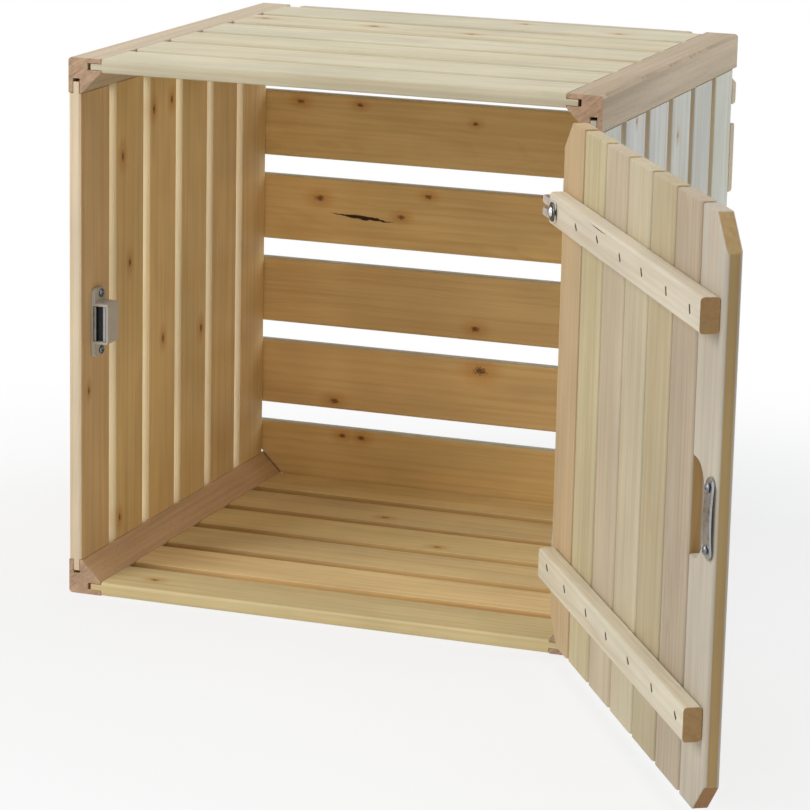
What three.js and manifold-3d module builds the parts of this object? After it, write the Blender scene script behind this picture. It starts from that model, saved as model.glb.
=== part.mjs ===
// A kindling box: a slatted crate on four grooved corner rails, with a boarded door on the right.
//
// Millimetres, +Z up, +X to the right seen from the front, +Y towards the back.
// The origin is on the underside, midway between the walls, on the middle of one floor slat.
// The slats of the top, floor and walls end in tongues that sit in grooves along the rails.
// The door is seven boards on two battens. It hangs on two butt hinges and closes on a
// magnetic catch. It is shown open.

import * as THREE from 'three';
import { mergeVertices } from 'three/addons/utils/BufferGeometryUtils.js';
import Module from 'manifold-3d';

const wasm = await Module();
wasm.setup();

// ---------------------------------------------------------------------------------------------
// Driving dimensions
// ---------------------------------------------------------------------------------------------

// The whole box, outside. Its depth follows from the slats.
const boxWidth = 362;
const boxHeight = 362;

// Gap between a piece and the face that it is screwed, stapled or glued to.
const seatGap = 0.3;

// Slats of the top, floor and both walls.
const slatsPerSide = 6;
const slatWidth = 45;
const slatThickness = 9.5;
const slatGap = 10;
const edgeRadius = 2;
const originSlat = 4;

// Tongues on the slats' ends, and the grooves that take them.
const tongueLength = 7.7;
const outerShoulder = 3.6;
const innerShoulder = 1.9;
const cheekClearance = 0.3;
const grooveEndGap = 1.5;

// Corner rails.
const railSize = 23.3;
const railCornerRadius = 2.5;

// Slats of the back.
const backSlatHeight = 48.5;
const backSlatThickness = 9.7;
const backSlatGap = 14.2;
const backCornerGap = 1;

// Door boards.
const doorBoards = 7;
const boardThickness = 9.5;
const boardGap = 3.5;
const doorSideGap = 3.5;
const doorEndGap = 4.5;
const doorRecess = 1.2;
const doorChamfer = 19.5;
const doorOpenAngle = 122;

// Battens across the door's inner face. The inset runs from the door's end to a batten's middle,
// and the setbacks from the door's hinge edge and free edge to a batten's ends.
const battenHeight = 20;
const battenThickness = 11;
const battenHingeSetback = 12;
const battenFreeSetback = 6;
const battenInset = 53.5;

// Finger cut-out in the last board's hinge-side edge.
const cutoutHeight = 56;
const cutoutDepth = 24;
const cutoutRadius = 17;

// Butt hinges. The pin stands in front of the box, in the middle of the gap beside the door.
const pinForward = 1.8;
const pinRadius = 1.2;
const pinHeadRadius = 2;
const pinHeadHeight = 0.8;
const barrelRadius = 2.4;
const hingeClearance = 0.3;
const leafThickness = 1.1;
const leafWidth = 12;
const leafHeight = 30;
const middleKnuckle = 11;

// Forked strap of the upper hinge, bent over the batten and held by a domed screw.
const strapHeight = 12;
const strapBendRadius = 3;
const strapSlotDrop = 9;
const strapTip = 3.5;
const strapScrewSetback = 26;
const strapScrewLength = 20;
const strapScrewHead = 3.2;
const strapScrewCrown = 2.1;
const strapScrewShank = 1.25;
const washerRadius = 6;
const washerThickness = 0.8;

// The catch and the keeper meet a little above the middle of the box.
const catchRise = 2;

// Keeper plate on the door, bowed away from the boards.
const keeperWidth = 12.5;
const keeperHeight = 46;
const keeperThickness = 1.2;
const keeperBow = 1.4;
const keeperCornerRadius = 5.8;
const keeperEdgeInset = 0.7;
const keeperScrewSpacing = 34.5;

// Magnetic catch on the left wall: a moulded housing round a magnet between two steel plates.
const catchGap = 0.4;
const catchHeight = 46;
const catchDepth = 17;
const catchBodyHeight = 27.3;
const catchCornerRadius = 1.5;
const catchWall = 1.2;
const catchEndWall = 1.7;
const catchEarThickness = 2.7;
const catchEarRadius = 3;
const catchScrewSpacing = 38.6;
const catchScrewSetback = 10;
const catchSlotLength = 7;
const polePlateThickness = 2;
const polePlateDepth = 13;
const magnetThickness = 4.4;
const magnetRecess = 3;

// Small screws of the catch and the keeper.
const screwHeadRadius = 2.9;
const screwHeadHeight = 1.7;
const screwShankRadius = 1.4;
const screwGrip = 6.5;
const screwClearance = 0.3;
const screwTip = 2;

// Fineness of round forms: steps in a quarter turn of a wooden edge, and round a turned piece.
const edgeSteps = 2;
const cornerSteps = 6;
const turnedSteps = 16;

// ---------------------------------------------------------------------------------------------
// Sizes that follow
// ---------------------------------------------------------------------------------------------

const slatPitch = slatWidth + slatGap;
const slatRowDepth = slatsPerSide * slatPitch - slatGap;
const boxDepth = slatRowDepth + seatGap + backSlatThickness;
const originFromFront = (originSlat - 1) * slatPitch + slatWidth / 2;
const midHeight = boxHeight / 2;
const catchMiddle = midHeight + catchRise;

const backSlats = Math.round((boxHeight + backSlatGap) / (backSlatHeight + backSlatGap));
const backSlatPitch = (boxHeight - backSlatHeight) / (backSlats - 1);

const doorWidth = boxWidth - 2 * slatThickness - 2 * doorSideGap;
const doorBottom = slatThickness + doorEndGap;
const doorTop = boxHeight - doorBottom;
const boardWidth = (doorWidth - (doorBoards - 1) * boardGap) / doorBoards;
const boardPitch = boardWidth + boardGap;

// In the door's own frame the pin is the origin, +X runs to the free edge, and -Y is inside.
const hingeEdgeX = doorSideGap / 2;
const outerFaceY = -(pinForward + doorRecess);
const innerFaceY = outerFaceY - boardThickness;
const battenBackY = innerFaceY - seatGap;
const battenFaceY = battenBackY - battenThickness;
const battenHeights = { upper: doorTop - battenInset, lower: doorBottom + battenInset };
const leafX = hingeEdgeX - seatGap - leafThickness;
const strapFaceY = battenFaceY - seatGap - leafThickness;
const strapScrewX = hingeEdgeX + strapScrewSetback;
const keeperX = hingeEdgeX + doorWidth - keeperEdgeInset - keeperWidth / 2;

const catchWidth = 2 * catchWall + 2 * polePlateThickness + magnetThickness + 4 * screwClearance;
const catchFrontY = doorRecess + boardThickness + seatGap + keeperThickness + keeperBow + catchGap;
const polePlateHeight = catchBodyHeight - 2 * catchEndWall - 2 * screwClearance;

// ---------------------------------------------------------------------------------------------
// Materials
// ---------------------------------------------------------------------------------------------

function material(color, roughness, metalness) {
  return new THREE.MeshStandardMaterial({ color, roughness, metalness });
}

const slatWood = material('#d3bd92', 0.72, 0);
const doorWood = material('#dcc8a4', 0.7, 0);
const railWood = material('#c29b76', 0.68, 0);
const battenWood = material('#d6bf98', 0.72, 0);
const zincSteel = material('#b9bcbe', 0.34, 1);
const darkSteel = material('#4c4b49', 0.42, 1);
const polishedSteel = material('#d4d6d8', 0.18, 1);
const catchPlastic = material('#b7b4ab', 0.55, 0);
const ferrite = material('#2b2a29', 0.8, 0);

// ---------------------------------------------------------------------------------------------
// Shapes and solids
// ---------------------------------------------------------------------------------------------

// A rectangle with rounded corners, its lower left corner at x, y.
function roundedRectangle(x, y, width, height, wantedRadius) {
  const radius = Math.min(wantedRadius, width / 2 - 0.01, height / 2 - 0.01);
  const shape = new THREE.Shape();
  shape.moveTo(x + radius, y);
  shape.lineTo(x + width - radius, y);
  shape.absarc(x + width - radius, y + radius, radius, -Math.PI / 2, 0, false);
  shape.absarc(x + width - radius, y + height - radius, radius, 0, Math.PI / 2, false);
  shape.absarc(x + radius, y + height - radius, radius, Math.PI / 2, Math.PI, false);
  shape.absarc(x + radius, y + radius, radius, Math.PI, 1.5 * Math.PI, false);
  return shape;
}

// A closed outline through corner points.
function polygon(corners) {
  return new THREE.Shape(corners.map(([x, y]) => new THREE.Vector2(x, y)));
}

// An arc in a Shape gets two steps for each of curveSegments.
function extrude(shape, depth, steps) {
  const curveSegments = Math.ceil(steps / 2);
  return new THREE.ExtrudeGeometry(shape, { depth, curveSegments, bevelEnabled: false });
}

// Outline drawn in X and Y, from z = start to z = end.
function extrudeAlongZ(shape, start, end, steps = edgeSteps) {
  return extrude(shape, end - start, steps).translate(0, 0, start);
}

// Outline drawn in X and Z, from y = start to y = end.
function extrudeAlongY(shape, start, end, steps = edgeSteps) {
  return extrude(shape, end - start, steps).rotateX(Math.PI / 2).translate(0, end, 0);
}

// Outline drawn in Y and Z, from x = start to x = end.
function extrudeAlongX(shape, start, end, steps = edgeSteps) {
  return extrude(shape, end - start, steps).rotateX(Math.PI / 2).rotateZ(Math.PI / 2).translate(start, 0, 0);
}

// A round bar along Y, from y = start to y = end.
function roundBar(radius, start, end) {
  const bar = new THREE.CylinderGeometry(radius, radius, end - start, turnedSteps);
  return bar.translate(0, (start + end) / 2, 0);
}

function toSolid(geometry) {
  const plain = geometry.clone();
  plain.deleteAttribute('normal');
  plain.deleteAttribute('uv');
  const merged = mergeVertices(plain);
  const vertProperties = new Float32Array(merged.attributes.position.array);
  const triVerts = new Uint32Array(merged.index.array);
  return new wasm.Manifold(new wasm.Mesh({ numProp: 3, vertProperties, triVerts }));
}

function toGeometry(solid) {
  const mesh = solid.getMesh();
  const geometry = new THREE.BufferGeometry();
  geometry.setAttribute('position', new THREE.BufferAttribute(mesh.vertProperties, 3));
  geometry.setIndex(new THREE.BufferAttribute(mesh.triVerts, 1));
  geometry.computeVertexNormals();
  return geometry;
}

function common(first, second) {
  return toGeometry(toSolid(first).intersect(toSolid(second)));
}

function joined(geometries) {
  return toGeometry(geometries.map(toSolid).reduce((whole, next) => whole.add(next)));
}

function cutBy(geometry, tools) {
  return toGeometry(tools.map(toSolid).reduce((rest, tool) => rest.subtract(tool), toSolid(geometry)));
}

function namedMesh(name, geometry, meshMaterial) {
  const mesh = new THREE.Mesh(geometry, meshMaterial);
  mesh.name = name;
  return mesh;
}

// ---------------------------------------------------------------------------------------------
// Corner rails
// ---------------------------------------------------------------------------------------------

// Section of a rail: a square with its inner corner planed off at 45 degrees and a groove in
// the end of each arm. The outer corner is the origin, and the arms run to -X and -Z.
function railSection() {
  const outerCheek = outerShoulder - cheekClearance;
  const grooveInner = slatThickness - innerShoulder + cheekClearance;
  const grooveFloor = railSize - seatGap - tongueLength - grooveEndGap;
  const shape = new THREE.Shape();
  shape.moveTo(-railCornerRadius, 0);
  shape.lineTo(-railSize, 0);
  shape.lineTo(-railSize, -outerCheek);
  shape.lineTo(-grooveFloor, -outerCheek);
  shape.lineTo(-grooveFloor, -grooveInner);
  shape.lineTo(-railSize, -grooveInner);
  shape.lineTo(-railSize, -slatThickness);
  shape.lineTo(-slatThickness, -railSize);
  shape.lineTo(-grooveInner, -railSize);
  shape.lineTo(-grooveInner, -grooveFloor);
  shape.lineTo(-outerCheek, -grooveFloor);
  shape.lineTo(-outerCheek, -railSize);
  shape.lineTo(0, -railSize);
  shape.lineTo(0, -railCornerRadius);
  shape.absarc(-railCornerRadius, -railCornerRadius, railCornerRadius, 0, Math.PI / 2, false);
  return shape;
}

// The rails stand at the four corners, each a quarter turn on from the last.
function buildRails() {
  const rails = new THREE.Group();
  const geometry = extrudeAlongY(railSection(), 0, boxDepth, cornerSteps);
  const corners = [
    { name: 'rail_top_right', turn: 0, x: 1, z: 1 },
    { name: 'rail_bottom_right', turn: 1, x: 1, z: -1 },
    { name: 'rail_bottom_left', turn: 2, x: -1, z: -1 },
    { name: 'rail_top_left', turn: 3, x: -1, z: 1 },
  ];
  for (const corner of corners) {
    const rail = namedMesh(corner.name, geometry, railWood);
    rail.rotation.y = corner.turn * Math.PI / 2;
    rail.position.set(corner.x * boxWidth / 2, 0, corner.z * boxHeight / 2);
    rails.add(rail);
  }
  return rails;
}

// ---------------------------------------------------------------------------------------------
// Slats of the top, floor and walls
// ---------------------------------------------------------------------------------------------

// A slat for a side of the given outer span, lying along X with its outer face at z = 0.
// The side view with both tongues is cut out of a board whose long edges are rounded.
function slatGeometry(span) {
  const shoulder = span / 2 - railSize - seatGap;
  const tongueEnd = shoulder + tongueLength;
  const sideView = polygon([
    [-shoulder, 0],
    [-shoulder, -outerShoulder],
    [-tongueEnd, -outerShoulder],
    [-tongueEnd, innerShoulder - slatThickness],
    [-shoulder, innerShoulder - slatThickness],
    [-shoulder, -slatThickness],
    [shoulder, -slatThickness],
    [shoulder, innerShoulder - slatThickness],
    [tongueEnd, innerShoulder - slatThickness],
    [tongueEnd, -outerShoulder],
    [shoulder, -outerShoulder],
    [shoulder, 0],
  ]);
  const section = roundedRectangle(0, -slatThickness, slatWidth, slatThickness, edgeRadius);
  return common(extrudeAlongY(sideView, 0, slatWidth), extrudeAlongX(section, -tongueEnd, tongueEnd));
}

// Pilot holes of the catch's screws, in the frame of the left wall's first slat.
function catchPilotHoles() {
  return [-1, 1].map((side) => {
    const hole = roundBar(screwShankRadius + screwClearance, -seatGap, screwGrip + screwClearance);
    hole.rotateX(Math.PI / 2);
    const y = catchFrontY + catchScrewSetback;
    return hole.translate(catchRise + side * catchScrewSpacing / 2, y, -slatThickness);
  });
}

// Each side is a row of slats in a group that is turned about the box's middle.
function buildSides() {
  const sides = new THREE.Group();
  const rows = [
    { name: 'top_slat', turn: 0, span: boxWidth, reach: boxHeight / 2 },
    { name: 'right_slat', turn: 1, span: boxHeight, reach: boxWidth / 2 },
    { name: 'floor_slat', turn: 2, span: boxWidth, reach: boxHeight / 2 },
    { name: 'left_slat', turn: 3, span: boxHeight, reach: boxWidth / 2 },
  ];
  for (const row of rows) {
    const side = new THREE.Group();
    const plainSlat = slatGeometry(row.span);
    for (let index = 0; index < slatsPerSide; index += 1) {
      const carriesCatch = row.name === 'left_slat' && index === 0;
      const geometry = carriesCatch ? cutBy(plainSlat, catchPilotHoles()) : plainSlat;
      const slat = namedMesh(`${row.name}_${index + 1}`, geometry, slatWood);
      slat.position.set(0, index * slatPitch, row.reach);
      side.add(slat);
    }
    side.rotation.y = row.turn * Math.PI / 2;
    sides.add(side);
  }
  return sides;
}

// ---------------------------------------------------------------------------------------------
// Back
// ---------------------------------------------------------------------------------------------

// The back's outline: its corners are cut parallel to the rails' planed faces, so that the
// first and the last slat clear the rails.
function backOutline() {
  const cut = railSize + slatThickness + backCornerGap * Math.SQRT2;
  const right = boxWidth / 2;
  const top = boxHeight / 2;
  return polygon([
    [-right + cut, -top],
    [right - cut, -top],
    [right, -top + cut],
    [right, top - cut],
    [right - cut, top],
    [-right + cut, top],
    [-right, top - cut],
    [-right, -top + cut],
  ]);
}

// Back slats lie against the ends of the rows, numbered from the bottom.
function buildBack() {
  const back = new THREE.Group();
  const front = slatRowDepth + seatGap;
  const outline = extrudeAlongY(backOutline(), front, front + backSlatThickness);
  for (let index = 0; index < backSlats; index += 1) {
    const bottom = index * backSlatPitch - boxHeight / 2;
    const section = roundedRectangle(front, bottom, backSlatThickness, backSlatHeight, edgeRadius);
    const blank = extrudeAlongX(section, -boxWidth / 2, boxWidth / 2);
    back.add(namedMesh(`back_slat_${index + 1}`, common(blank, outline), slatWood));
  }
  return back;
}

// ---------------------------------------------------------------------------------------------
// Screws
// ---------------------------------------------------------------------------------------------

// A screw along Y: the head's underside is at y = 0, the crown at +Y and the tip at -Y.
function screwGeometry(headRadius, crown, shankRadius, length) {
  const domeSteps = 4;
  const profile = [
    new THREE.Vector2(0, -length),
    new THREE.Vector2(shankRadius, -length + screwTip),
    new THREE.Vector2(shankRadius, 0),
  ];
  for (let step = 0; step <= domeSteps; step += 1) {
    const angle = step / domeSteps * Math.PI / 2;
    profile.push(new THREE.Vector2(headRadius * Math.cos(angle), crown * Math.sin(angle)));
  }
  profile[profile.length - 1].x = 0;
  return new THREE.LatheGeometry(profile, turnedSteps);
}

// ---------------------------------------------------------------------------------------------
// Hinges
// ---------------------------------------------------------------------------------------------

// A leaf before its knuckles are cut: a flat plate with a barrel along its pin edge. The pin is
// the Z axis, and the plate runs to +Y (wall leaf) or -Y (door leaf) in the gap beside the door.
function leafBlank(direction) {
  const low = Math.min(0, direction * leafWidth);
  const high = Math.max(0, direction * leafWidth);
  const plate = polygon([
    [leafX, low],
    [leafX + leafThickness, low],
    [leafX + leafThickness, high],
    [leafX, high],
  ]);
  const barrel = roundBar(barrelRadius, -leafHeight / 2, leafHeight / 2).rotateX(Math.PI / 2);
  return joined([extrudeAlongZ(plate, -leafHeight / 2, leafHeight / 2), barrel]);
}

// Room for the other leaf's knuckles between two heights.
function knuckleRoom(start, end) {
  return roundBar(barrelRadius + hingeClearance, start, end).rotateX(Math.PI / 2);
}

function pinBore() {
  return roundBar(pinRadius + hingeClearance, -leafHeight, leafHeight).rotateX(Math.PI / 2);
}

function wallLeafGeometry() {
  const half = middleKnuckle / 2 + hingeClearance;
  return cutBy(leafBlank(1), [knuckleRoom(-half, half), pinBore()]);
}

function doorLeafGeometry() {
  const half = middleKnuckle / 2;
  const tools = [knuckleRoom(half, leafHeight), knuckleRoom(-leafHeight, -half), pinBore()];
  return cutBy(leafBlank(-1), tools);
}

// Side view of the strap that carries the upper leaf on: down the door's edge, over the
// batten's end in a bend, and along the batten's face to just past its screw.
function strapSection() {
  const innerRadius = strapBendRadius - leafThickness;
  const bendX = leafX + strapBendRadius;
  const bendY = strapFaceY + strapBendRadius;
  const tipX = strapScrewX + strapTip;
  const shape = new THREE.Shape();
  shape.moveTo(leafX, -leafWidth + seatGap);
  shape.lineTo(leafX, bendY);
  shape.absarc(bendX, bendY, strapBendRadius, Math.PI, 1.5 * Math.PI, false);
  shape.lineTo(tipX, strapFaceY);
  shape.lineTo(tipX, strapFaceY + leafThickness);
  shape.lineTo(bendX, strapFaceY + leafThickness);
  shape.absarc(bendX, bendY, innerRadius, 1.5 * Math.PI, Math.PI, true);
  shape.lineTo(leafX + leafThickness, -leafWidth + seatGap);
  return shape;
}

// The fork: an open slot for the screw, from the strap's tip round the bend.
function strapSlot() {
  const halfSlot = strapScrewShank + screwClearance;
  const slot = roundedRectangle(-halfSlot, 0, 2 * halfSlot, strapSlotDrop + barrelRadius, halfSlot);
  const tool = extrudeAlongX(slot, -barrelRadius, strapScrewX + 2 * strapTip, cornerSteps);
  return tool.rotateX(-Math.PI / 2).translate(0, strapFaceY - barrelRadius, 0);
}

function strappedLeafGeometry() {
  const strap = extrudeAlongZ(strapSection(), -strapHeight / 2, strapHeight / 2, cornerSteps);
  return cutBy(joined([doorLeafGeometry(), strap]), [strapSlot()]);
}

// The pin hangs by its head on the upper knuckle.
function pinGeometry() {
  const top = leafHeight / 2 + hingeClearance;
  const profile = [
    new THREE.Vector2(0, -leafHeight / 2),
    new THREE.Vector2(pinRadius, -leafHeight / 2),
    new THREE.Vector2(pinRadius, top),
    new THREE.Vector2(pinHeadRadius, top),
    new THREE.Vector2(pinHeadRadius * 0.8, top + pinHeadHeight),
    new THREE.Vector2(0, top + pinHeadHeight),
  ];
  return new THREE.LatheGeometry(profile, turnedSteps).rotateX(Math.PI / 2);
}

// ---------------------------------------------------------------------------------------------
// Magnetic catch
// ---------------------------------------------------------------------------------------------

// Own frame: x = 0 is the seat on the wall, y = 0 the front, z = 0 the middle.
function catchHousingGeometry() {
  const ears = roundedRectangle(0, -catchHeight / 2, catchDepth, catchHeight, catchEarRadius);
  const bodyFoot = -catchBodyHeight / 2;
  const body = roundedRectangle(0, bodyFoot, catchWidth, catchBodyHeight, catchCornerRadius);
  const pocketWidth = catchWidth - 2 * catchWall;
  const pocketHeight = catchBodyHeight - 2 * catchEndWall;
  const pocketDepth = polePlateDepth + screwClearance;
  const pocket = new THREE.BoxGeometry(pocketWidth, 2 * pocketDepth, pocketHeight);
  pocket.translate(catchWidth / 2, 0, 0);
  const slotWidth = 2 * (screwShankRadius + screwClearance);
  const slotY = catchScrewSetback - catchSlotLength / 2;
  const slots = [-1, 1].map((side) => {
    const slotZ = side * catchScrewSpacing / 2 - slotWidth / 2;
    const slot = roundedRectangle(slotY, slotZ, catchSlotLength, slotWidth, slotWidth / 2);
    return extrudeAlongX(slot, -catchWall, catchWidth, cornerSteps);
  });
  const shell = joined([
    extrudeAlongX(ears, 0, catchEarThickness, cornerSteps),
    extrudeAlongY(body, 0, catchDepth, cornerSteps),
  ]);
  return cutBy(shell, [pocket, ...slots]);
}

function buildCatch() {
  const magneticCatch = new THREE.Group();
  const plate = new THREE.BoxGeometry(polePlateThickness, polePlateDepth, polePlateHeight);
  const magnetDepth = polePlateDepth - magnetRecess;
  const magnetBlock = new THREE.BoxGeometry(magnetThickness, magnetDepth, polePlateHeight);
  const plateOffset = magnetThickness / 2 + screwClearance + polePlateThickness / 2;
  const screwLength = catchEarThickness + 2 * seatGap + screwGrip;
  const screw = screwGeometry(screwHeadRadius, screwHeadHeight, screwShankRadius, screwLength);

  magneticCatch.add(namedMesh('catch_housing', catchHousingGeometry(), catchPlastic));
  const magnet = namedMesh('catch_magnet', magnetBlock, ferrite);
  magnet.position.set(catchWidth / 2, magnetRecess + magnetDepth / 2, 0);
  magneticCatch.add(magnet);
  for (const [name, side] of [['outer', -1], ['inner', 1]]) {
    const polePlate = namedMesh(`catch_pole_plate_${name}`, plate, zincSteel);
    polePlate.position.set(catchWidth / 2 + side * plateOffset, polePlateDepth / 2, 0);
    magneticCatch.add(polePlate);
  }
  for (const [name, side] of [['lower', -1], ['upper', 1]]) {
    const earScrew = namedMesh(`catch_screw_${name}`, screw, zincSteel);
    earScrew.rotation.z = -Math.PI / 2;
    earScrew.position.set(catchEarThickness + seatGap, catchScrewSetback, side * catchScrewSpacing / 2);
    magneticCatch.add(earScrew);
  }
  magneticCatch.position.set(-boxWidth / 2 + slatThickness + seatGap, catchFrontY, catchMiddle);
  return magneticCatch;
}

// ---------------------------------------------------------------------------------------------
// Door, in its own frame: the pin is the origin and +X runs to the free edge
// ---------------------------------------------------------------------------------------------

// The door's outline with its four corners chamfered, from the given edges of one board.
function boardOutline(left, right) {
  const leftCut = left <= hingeEdgeX ? doorChamfer : 0;
  const rightCut = right >= hingeEdgeX + doorWidth - boardGap ? doorChamfer : 0;
  const corners = [
    [left + leftCut, doorBottom],
    [right - rightCut, doorBottom],
    [right, doorBottom + rightCut],
    [right, doorTop - rightCut],
    [right - rightCut, doorTop],
    [left + leftCut, doorTop],
    [left, doorTop - leftCut],
    [left, doorBottom + leftCut],
  ];
  const repeated = (corner, index) => {
    const before = corners[(index + corners.length - 1) % corners.length];
    return corner[0] === before[0] && corner[1] === before[1];
  };
  return polygon(corners.filter((corner, index) => !repeated(corner, index)));
}

// The finger cut-out is open to the last board's hinge-side edge.
function fingerCutout(boardLeft) {
  const shape = roundedRectangle(
    boardLeft - cutoutDepth,
    midHeight - cutoutHeight / 2,
    2 * cutoutDepth,
    cutoutHeight,
    cutoutRadius,
  );
  return extrudeAlongY(shape, innerFaceY - seatGap, outerFaceY + seatGap, cornerSteps);
}

// How far the keeper's bowed back stands off the door at a height from its middle.
function keeperRise(height) {
  const radius = keeperBackRadius();
  return Math.sqrt(radius * radius - height * height) - (radius - keeperBow);
}

function keeperBackRadius() {
  return (keeperHeight * keeperHeight / 4 + keeperBow * keeperBow) / (2 * keeperBow);
}

function keeperScrewHeights() {
  return [-1, 1].map((side) => catchMiddle + side * keeperScrewSpacing / 2);
}

// Underside of a keeper screw's head, which rests where the bowed plate is highest under it.
function keeperScrewSeatY() {
  const highest = keeperRise(keeperScrewSpacing / 2 - screwHeadRadius);
  return innerFaceY - seatGap - highest - keeperThickness - seatGap;
}

// A hole along Y that starts outside the inner face of the door and ends at the given depth.
function doorHole(x, z, radius, depth) {
  return roundBar(radius, innerFaceY - seatGap, innerFaceY + depth).translate(x, 0, z);
}

function strapScrewDepthInBoard() {
  const headY = strapFaceY - 2 * seatGap - washerThickness;
  return headY + strapScrewLength - innerFaceY;
}

function doorBoardGeometry(index) {
  const left = hingeEdgeX + index * boardPitch;
  const right = left + boardWidth;
  const section = roundedRectangle(left, innerFaceY, boardWidth, boardThickness, edgeRadius);
  const board = common(
    extrudeAlongZ(section, doorBottom, doorTop),
    extrudeAlongY(boardOutline(left, right), innerFaceY, outerFaceY),
  );
  if (index === 0) {
    const radius = strapScrewShank + screwClearance;
    const depth = strapScrewDepthInBoard() + screwClearance;
    return cutBy(board, [doorHole(strapScrewX, battenHeights.upper, radius, depth)]);
  }
  if (index === doorBoards - 1) {
    const radius = screwShankRadius + screwClearance;
    const depth = screwGrip + screwClearance;
    const holes = keeperScrewHeights().map((z) => doorHole(keeperX, z, radius, depth));
    return cutBy(board, [fingerCutout(left), ...holes]);
  }
  return board;
}

function battenGeometry() {
  const section = roundedRectangle(battenFaceY, -battenHeight / 2, battenThickness, battenHeight, edgeRadius);
  const start = hingeEdgeX + battenHingeSetback;
  return extrudeAlongX(section, start, hingeEdgeX + doorWidth - battenFreeSetback);
}

// A strip bowed along its height, trimmed to an outline with round ends and drilled twice.
function keeperGeometry() {
  const radius = keeperBackRadius();
  const reach = Math.asin(keeperHeight / 2 / radius);
  const centre = radius - keeperBow;
  const strip = new THREE.Shape();
  strip.absarc(centre, 0, radius, Math.PI + reach, Math.PI - reach, true);
  strip.absarc(centre, 0, radius + keeperThickness, Math.PI - reach, Math.PI + reach, false);
  const outline = roundedRectangle(
    -keeperWidth / 2,
    -keeperHeight / 2,
    keeperWidth,
    keeperHeight,
    keeperCornerRadius,
  );
  const plate = common(
    extrudeAlongX(strip, -keeperWidth / 2, keeperWidth / 2, 2 * cornerSteps),
    extrudeAlongY(outline, -keeperWidth, keeperWidth, cornerSteps),
  );
  const holes = [-1, 1].map((side) => {
    const hole = roundBar(screwShankRadius + screwClearance, -keeperWidth, keeperWidth);
    return hole.translate(0, 0, side * keeperScrewSpacing / 2);
  });
  return cutBy(plate, holes);
}

function addBoardsAndBattens(door) {
  for (let index = 0; index < doorBoards; index += 1) {
    door.add(namedMesh(`door_board_${index + 1}`, doorBoardGeometry(index), doorWood));
  }
  const plainBatten = battenGeometry();
  const holeRadius = strapScrewShank + screwClearance;
  const screwHole = roundBar(holeRadius, battenFaceY - seatGap, battenBackY + seatGap);
  const drilledBatten = cutBy(plainBatten, [screwHole.translate(strapScrewX, 0, 0)]);
  const upper = namedMesh('door_batten_upper', drilledBatten, battenWood);
  const lower = namedMesh('door_batten_lower', plainBatten, battenWood);
  upper.position.z = battenHeights.upper;
  lower.position.z = battenHeights.lower;
  door.add(upper, lower);
}

function addKeeper(door) {
  const keeper = namedMesh('keeper_plate', keeperGeometry(), zincSteel);
  keeper.position.set(keeperX, innerFaceY - seatGap, catchMiddle);
  door.add(keeper);
  const headY = keeperScrewSeatY();
  const length = innerFaceY - headY + screwGrip;
  const screw = screwGeometry(screwHeadRadius, screwHeadHeight, screwShankRadius, length);
  keeperScrewHeights().forEach((height, index) => {
    const keeperScrew = namedMesh(`keeper_screw_${['lower', 'upper'][index]}`, screw, zincSteel);
    keeperScrew.rotation.x = Math.PI;
    keeperScrew.position.set(keeperX, headY, height);
    door.add(keeperScrew);
  });
}

function addStrapScrew(door) {
  const washerY = strapFaceY - seatGap;
  const washer = cutBy(
    roundBar(washerRadius, washerY - washerThickness, washerY),
    [roundBar(strapScrewShank + screwClearance, washerY - 2 * washerThickness, washerY + seatGap)],
  );
  const washerMesh = namedMesh('strap_washer', washer, darkSteel);
  washerMesh.position.set(strapScrewX, 0, battenHeights.upper);
  const screw = screwGeometry(strapScrewHead, strapScrewCrown, strapScrewShank, strapScrewLength);
  const screwMesh = namedMesh('strap_screw', screw, polishedSteel);
  screwMesh.rotation.x = Math.PI;
  screwMesh.position.set(strapScrewX, washerY - washerThickness - seatGap, battenHeights.upper);
  door.add(washerMesh, screwMesh);
}

function buildDoor() {
  const door = new THREE.Group();
  addBoardsAndBattens(door);
  addKeeper(door);
  addStrapScrew(door);
  const upperLeaf = namedMesh('hinge_upper_door_leaf', strappedLeafGeometry(), zincSteel);
  const lowerLeaf = namedMesh('hinge_lower_door_leaf', doorLeafGeometry(), zincSteel);
  upperLeaf.position.z = battenHeights.upper;
  lowerLeaf.position.z = battenHeights.lower;
  door.add(upperLeaf, lowerLeaf);
  return door;
}

// The wall's halves of the hinges, and the pins.
function buildHingeFixings() {
  const fixings = new THREE.Group();
  const wallLeaf = wallLeafGeometry();
  const pin = pinGeometry();
  for (const [name, height] of Object.entries(battenHeights)) {
    const leafMesh = namedMesh(`hinge_${name}_wall_leaf`, wallLeaf, zincSteel);
    const pinMesh = namedMesh(`hinge_${name}_pin`, pin, zincSteel);
    leafMesh.position.z = height;
    pinMesh.position.z = height;
    fixings.add(leafMesh, pinMesh);
  }
  return fixings;
}

// ---------------------------------------------------------------------------------------------
// Assembly
// ---------------------------------------------------------------------------------------------

// Fully open at 180 degrees, the door's own frame lies like the box's.
const hingeAxisX = boxWidth / 2 - slatThickness - doorSideGap / 2;
const door = buildDoor();
door.rotation.z = THREE.MathUtils.degToRad(doorOpenAngle - 180);
door.position.set(hingeAxisX, -pinForward, 0);

const hingeFixings = buildHingeFixings();
hingeFixings.position.set(hingeAxisX, -pinForward, 0);

const cage = new THREE.Group();
cage.add(buildRails(), buildSides(), buildBack());
cage.position.z = midHeight;

const kindlingBox = new THREE.Group();
kindlingBox.add(cage, buildCatch(), hingeFixings, door);
kindlingBox.position.y = -originFromFront;

export default kindlingBox;
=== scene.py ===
"""Looks of a slatted kindling box with a boarded door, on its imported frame.

Metres, +Z up, +Y towards the back. The origin is on the underside, on floor slat 4's middle.
"""

import math
import random

import bmesh
import bpy
import numpy as np
from mathutils import Matrix, Vector


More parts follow.
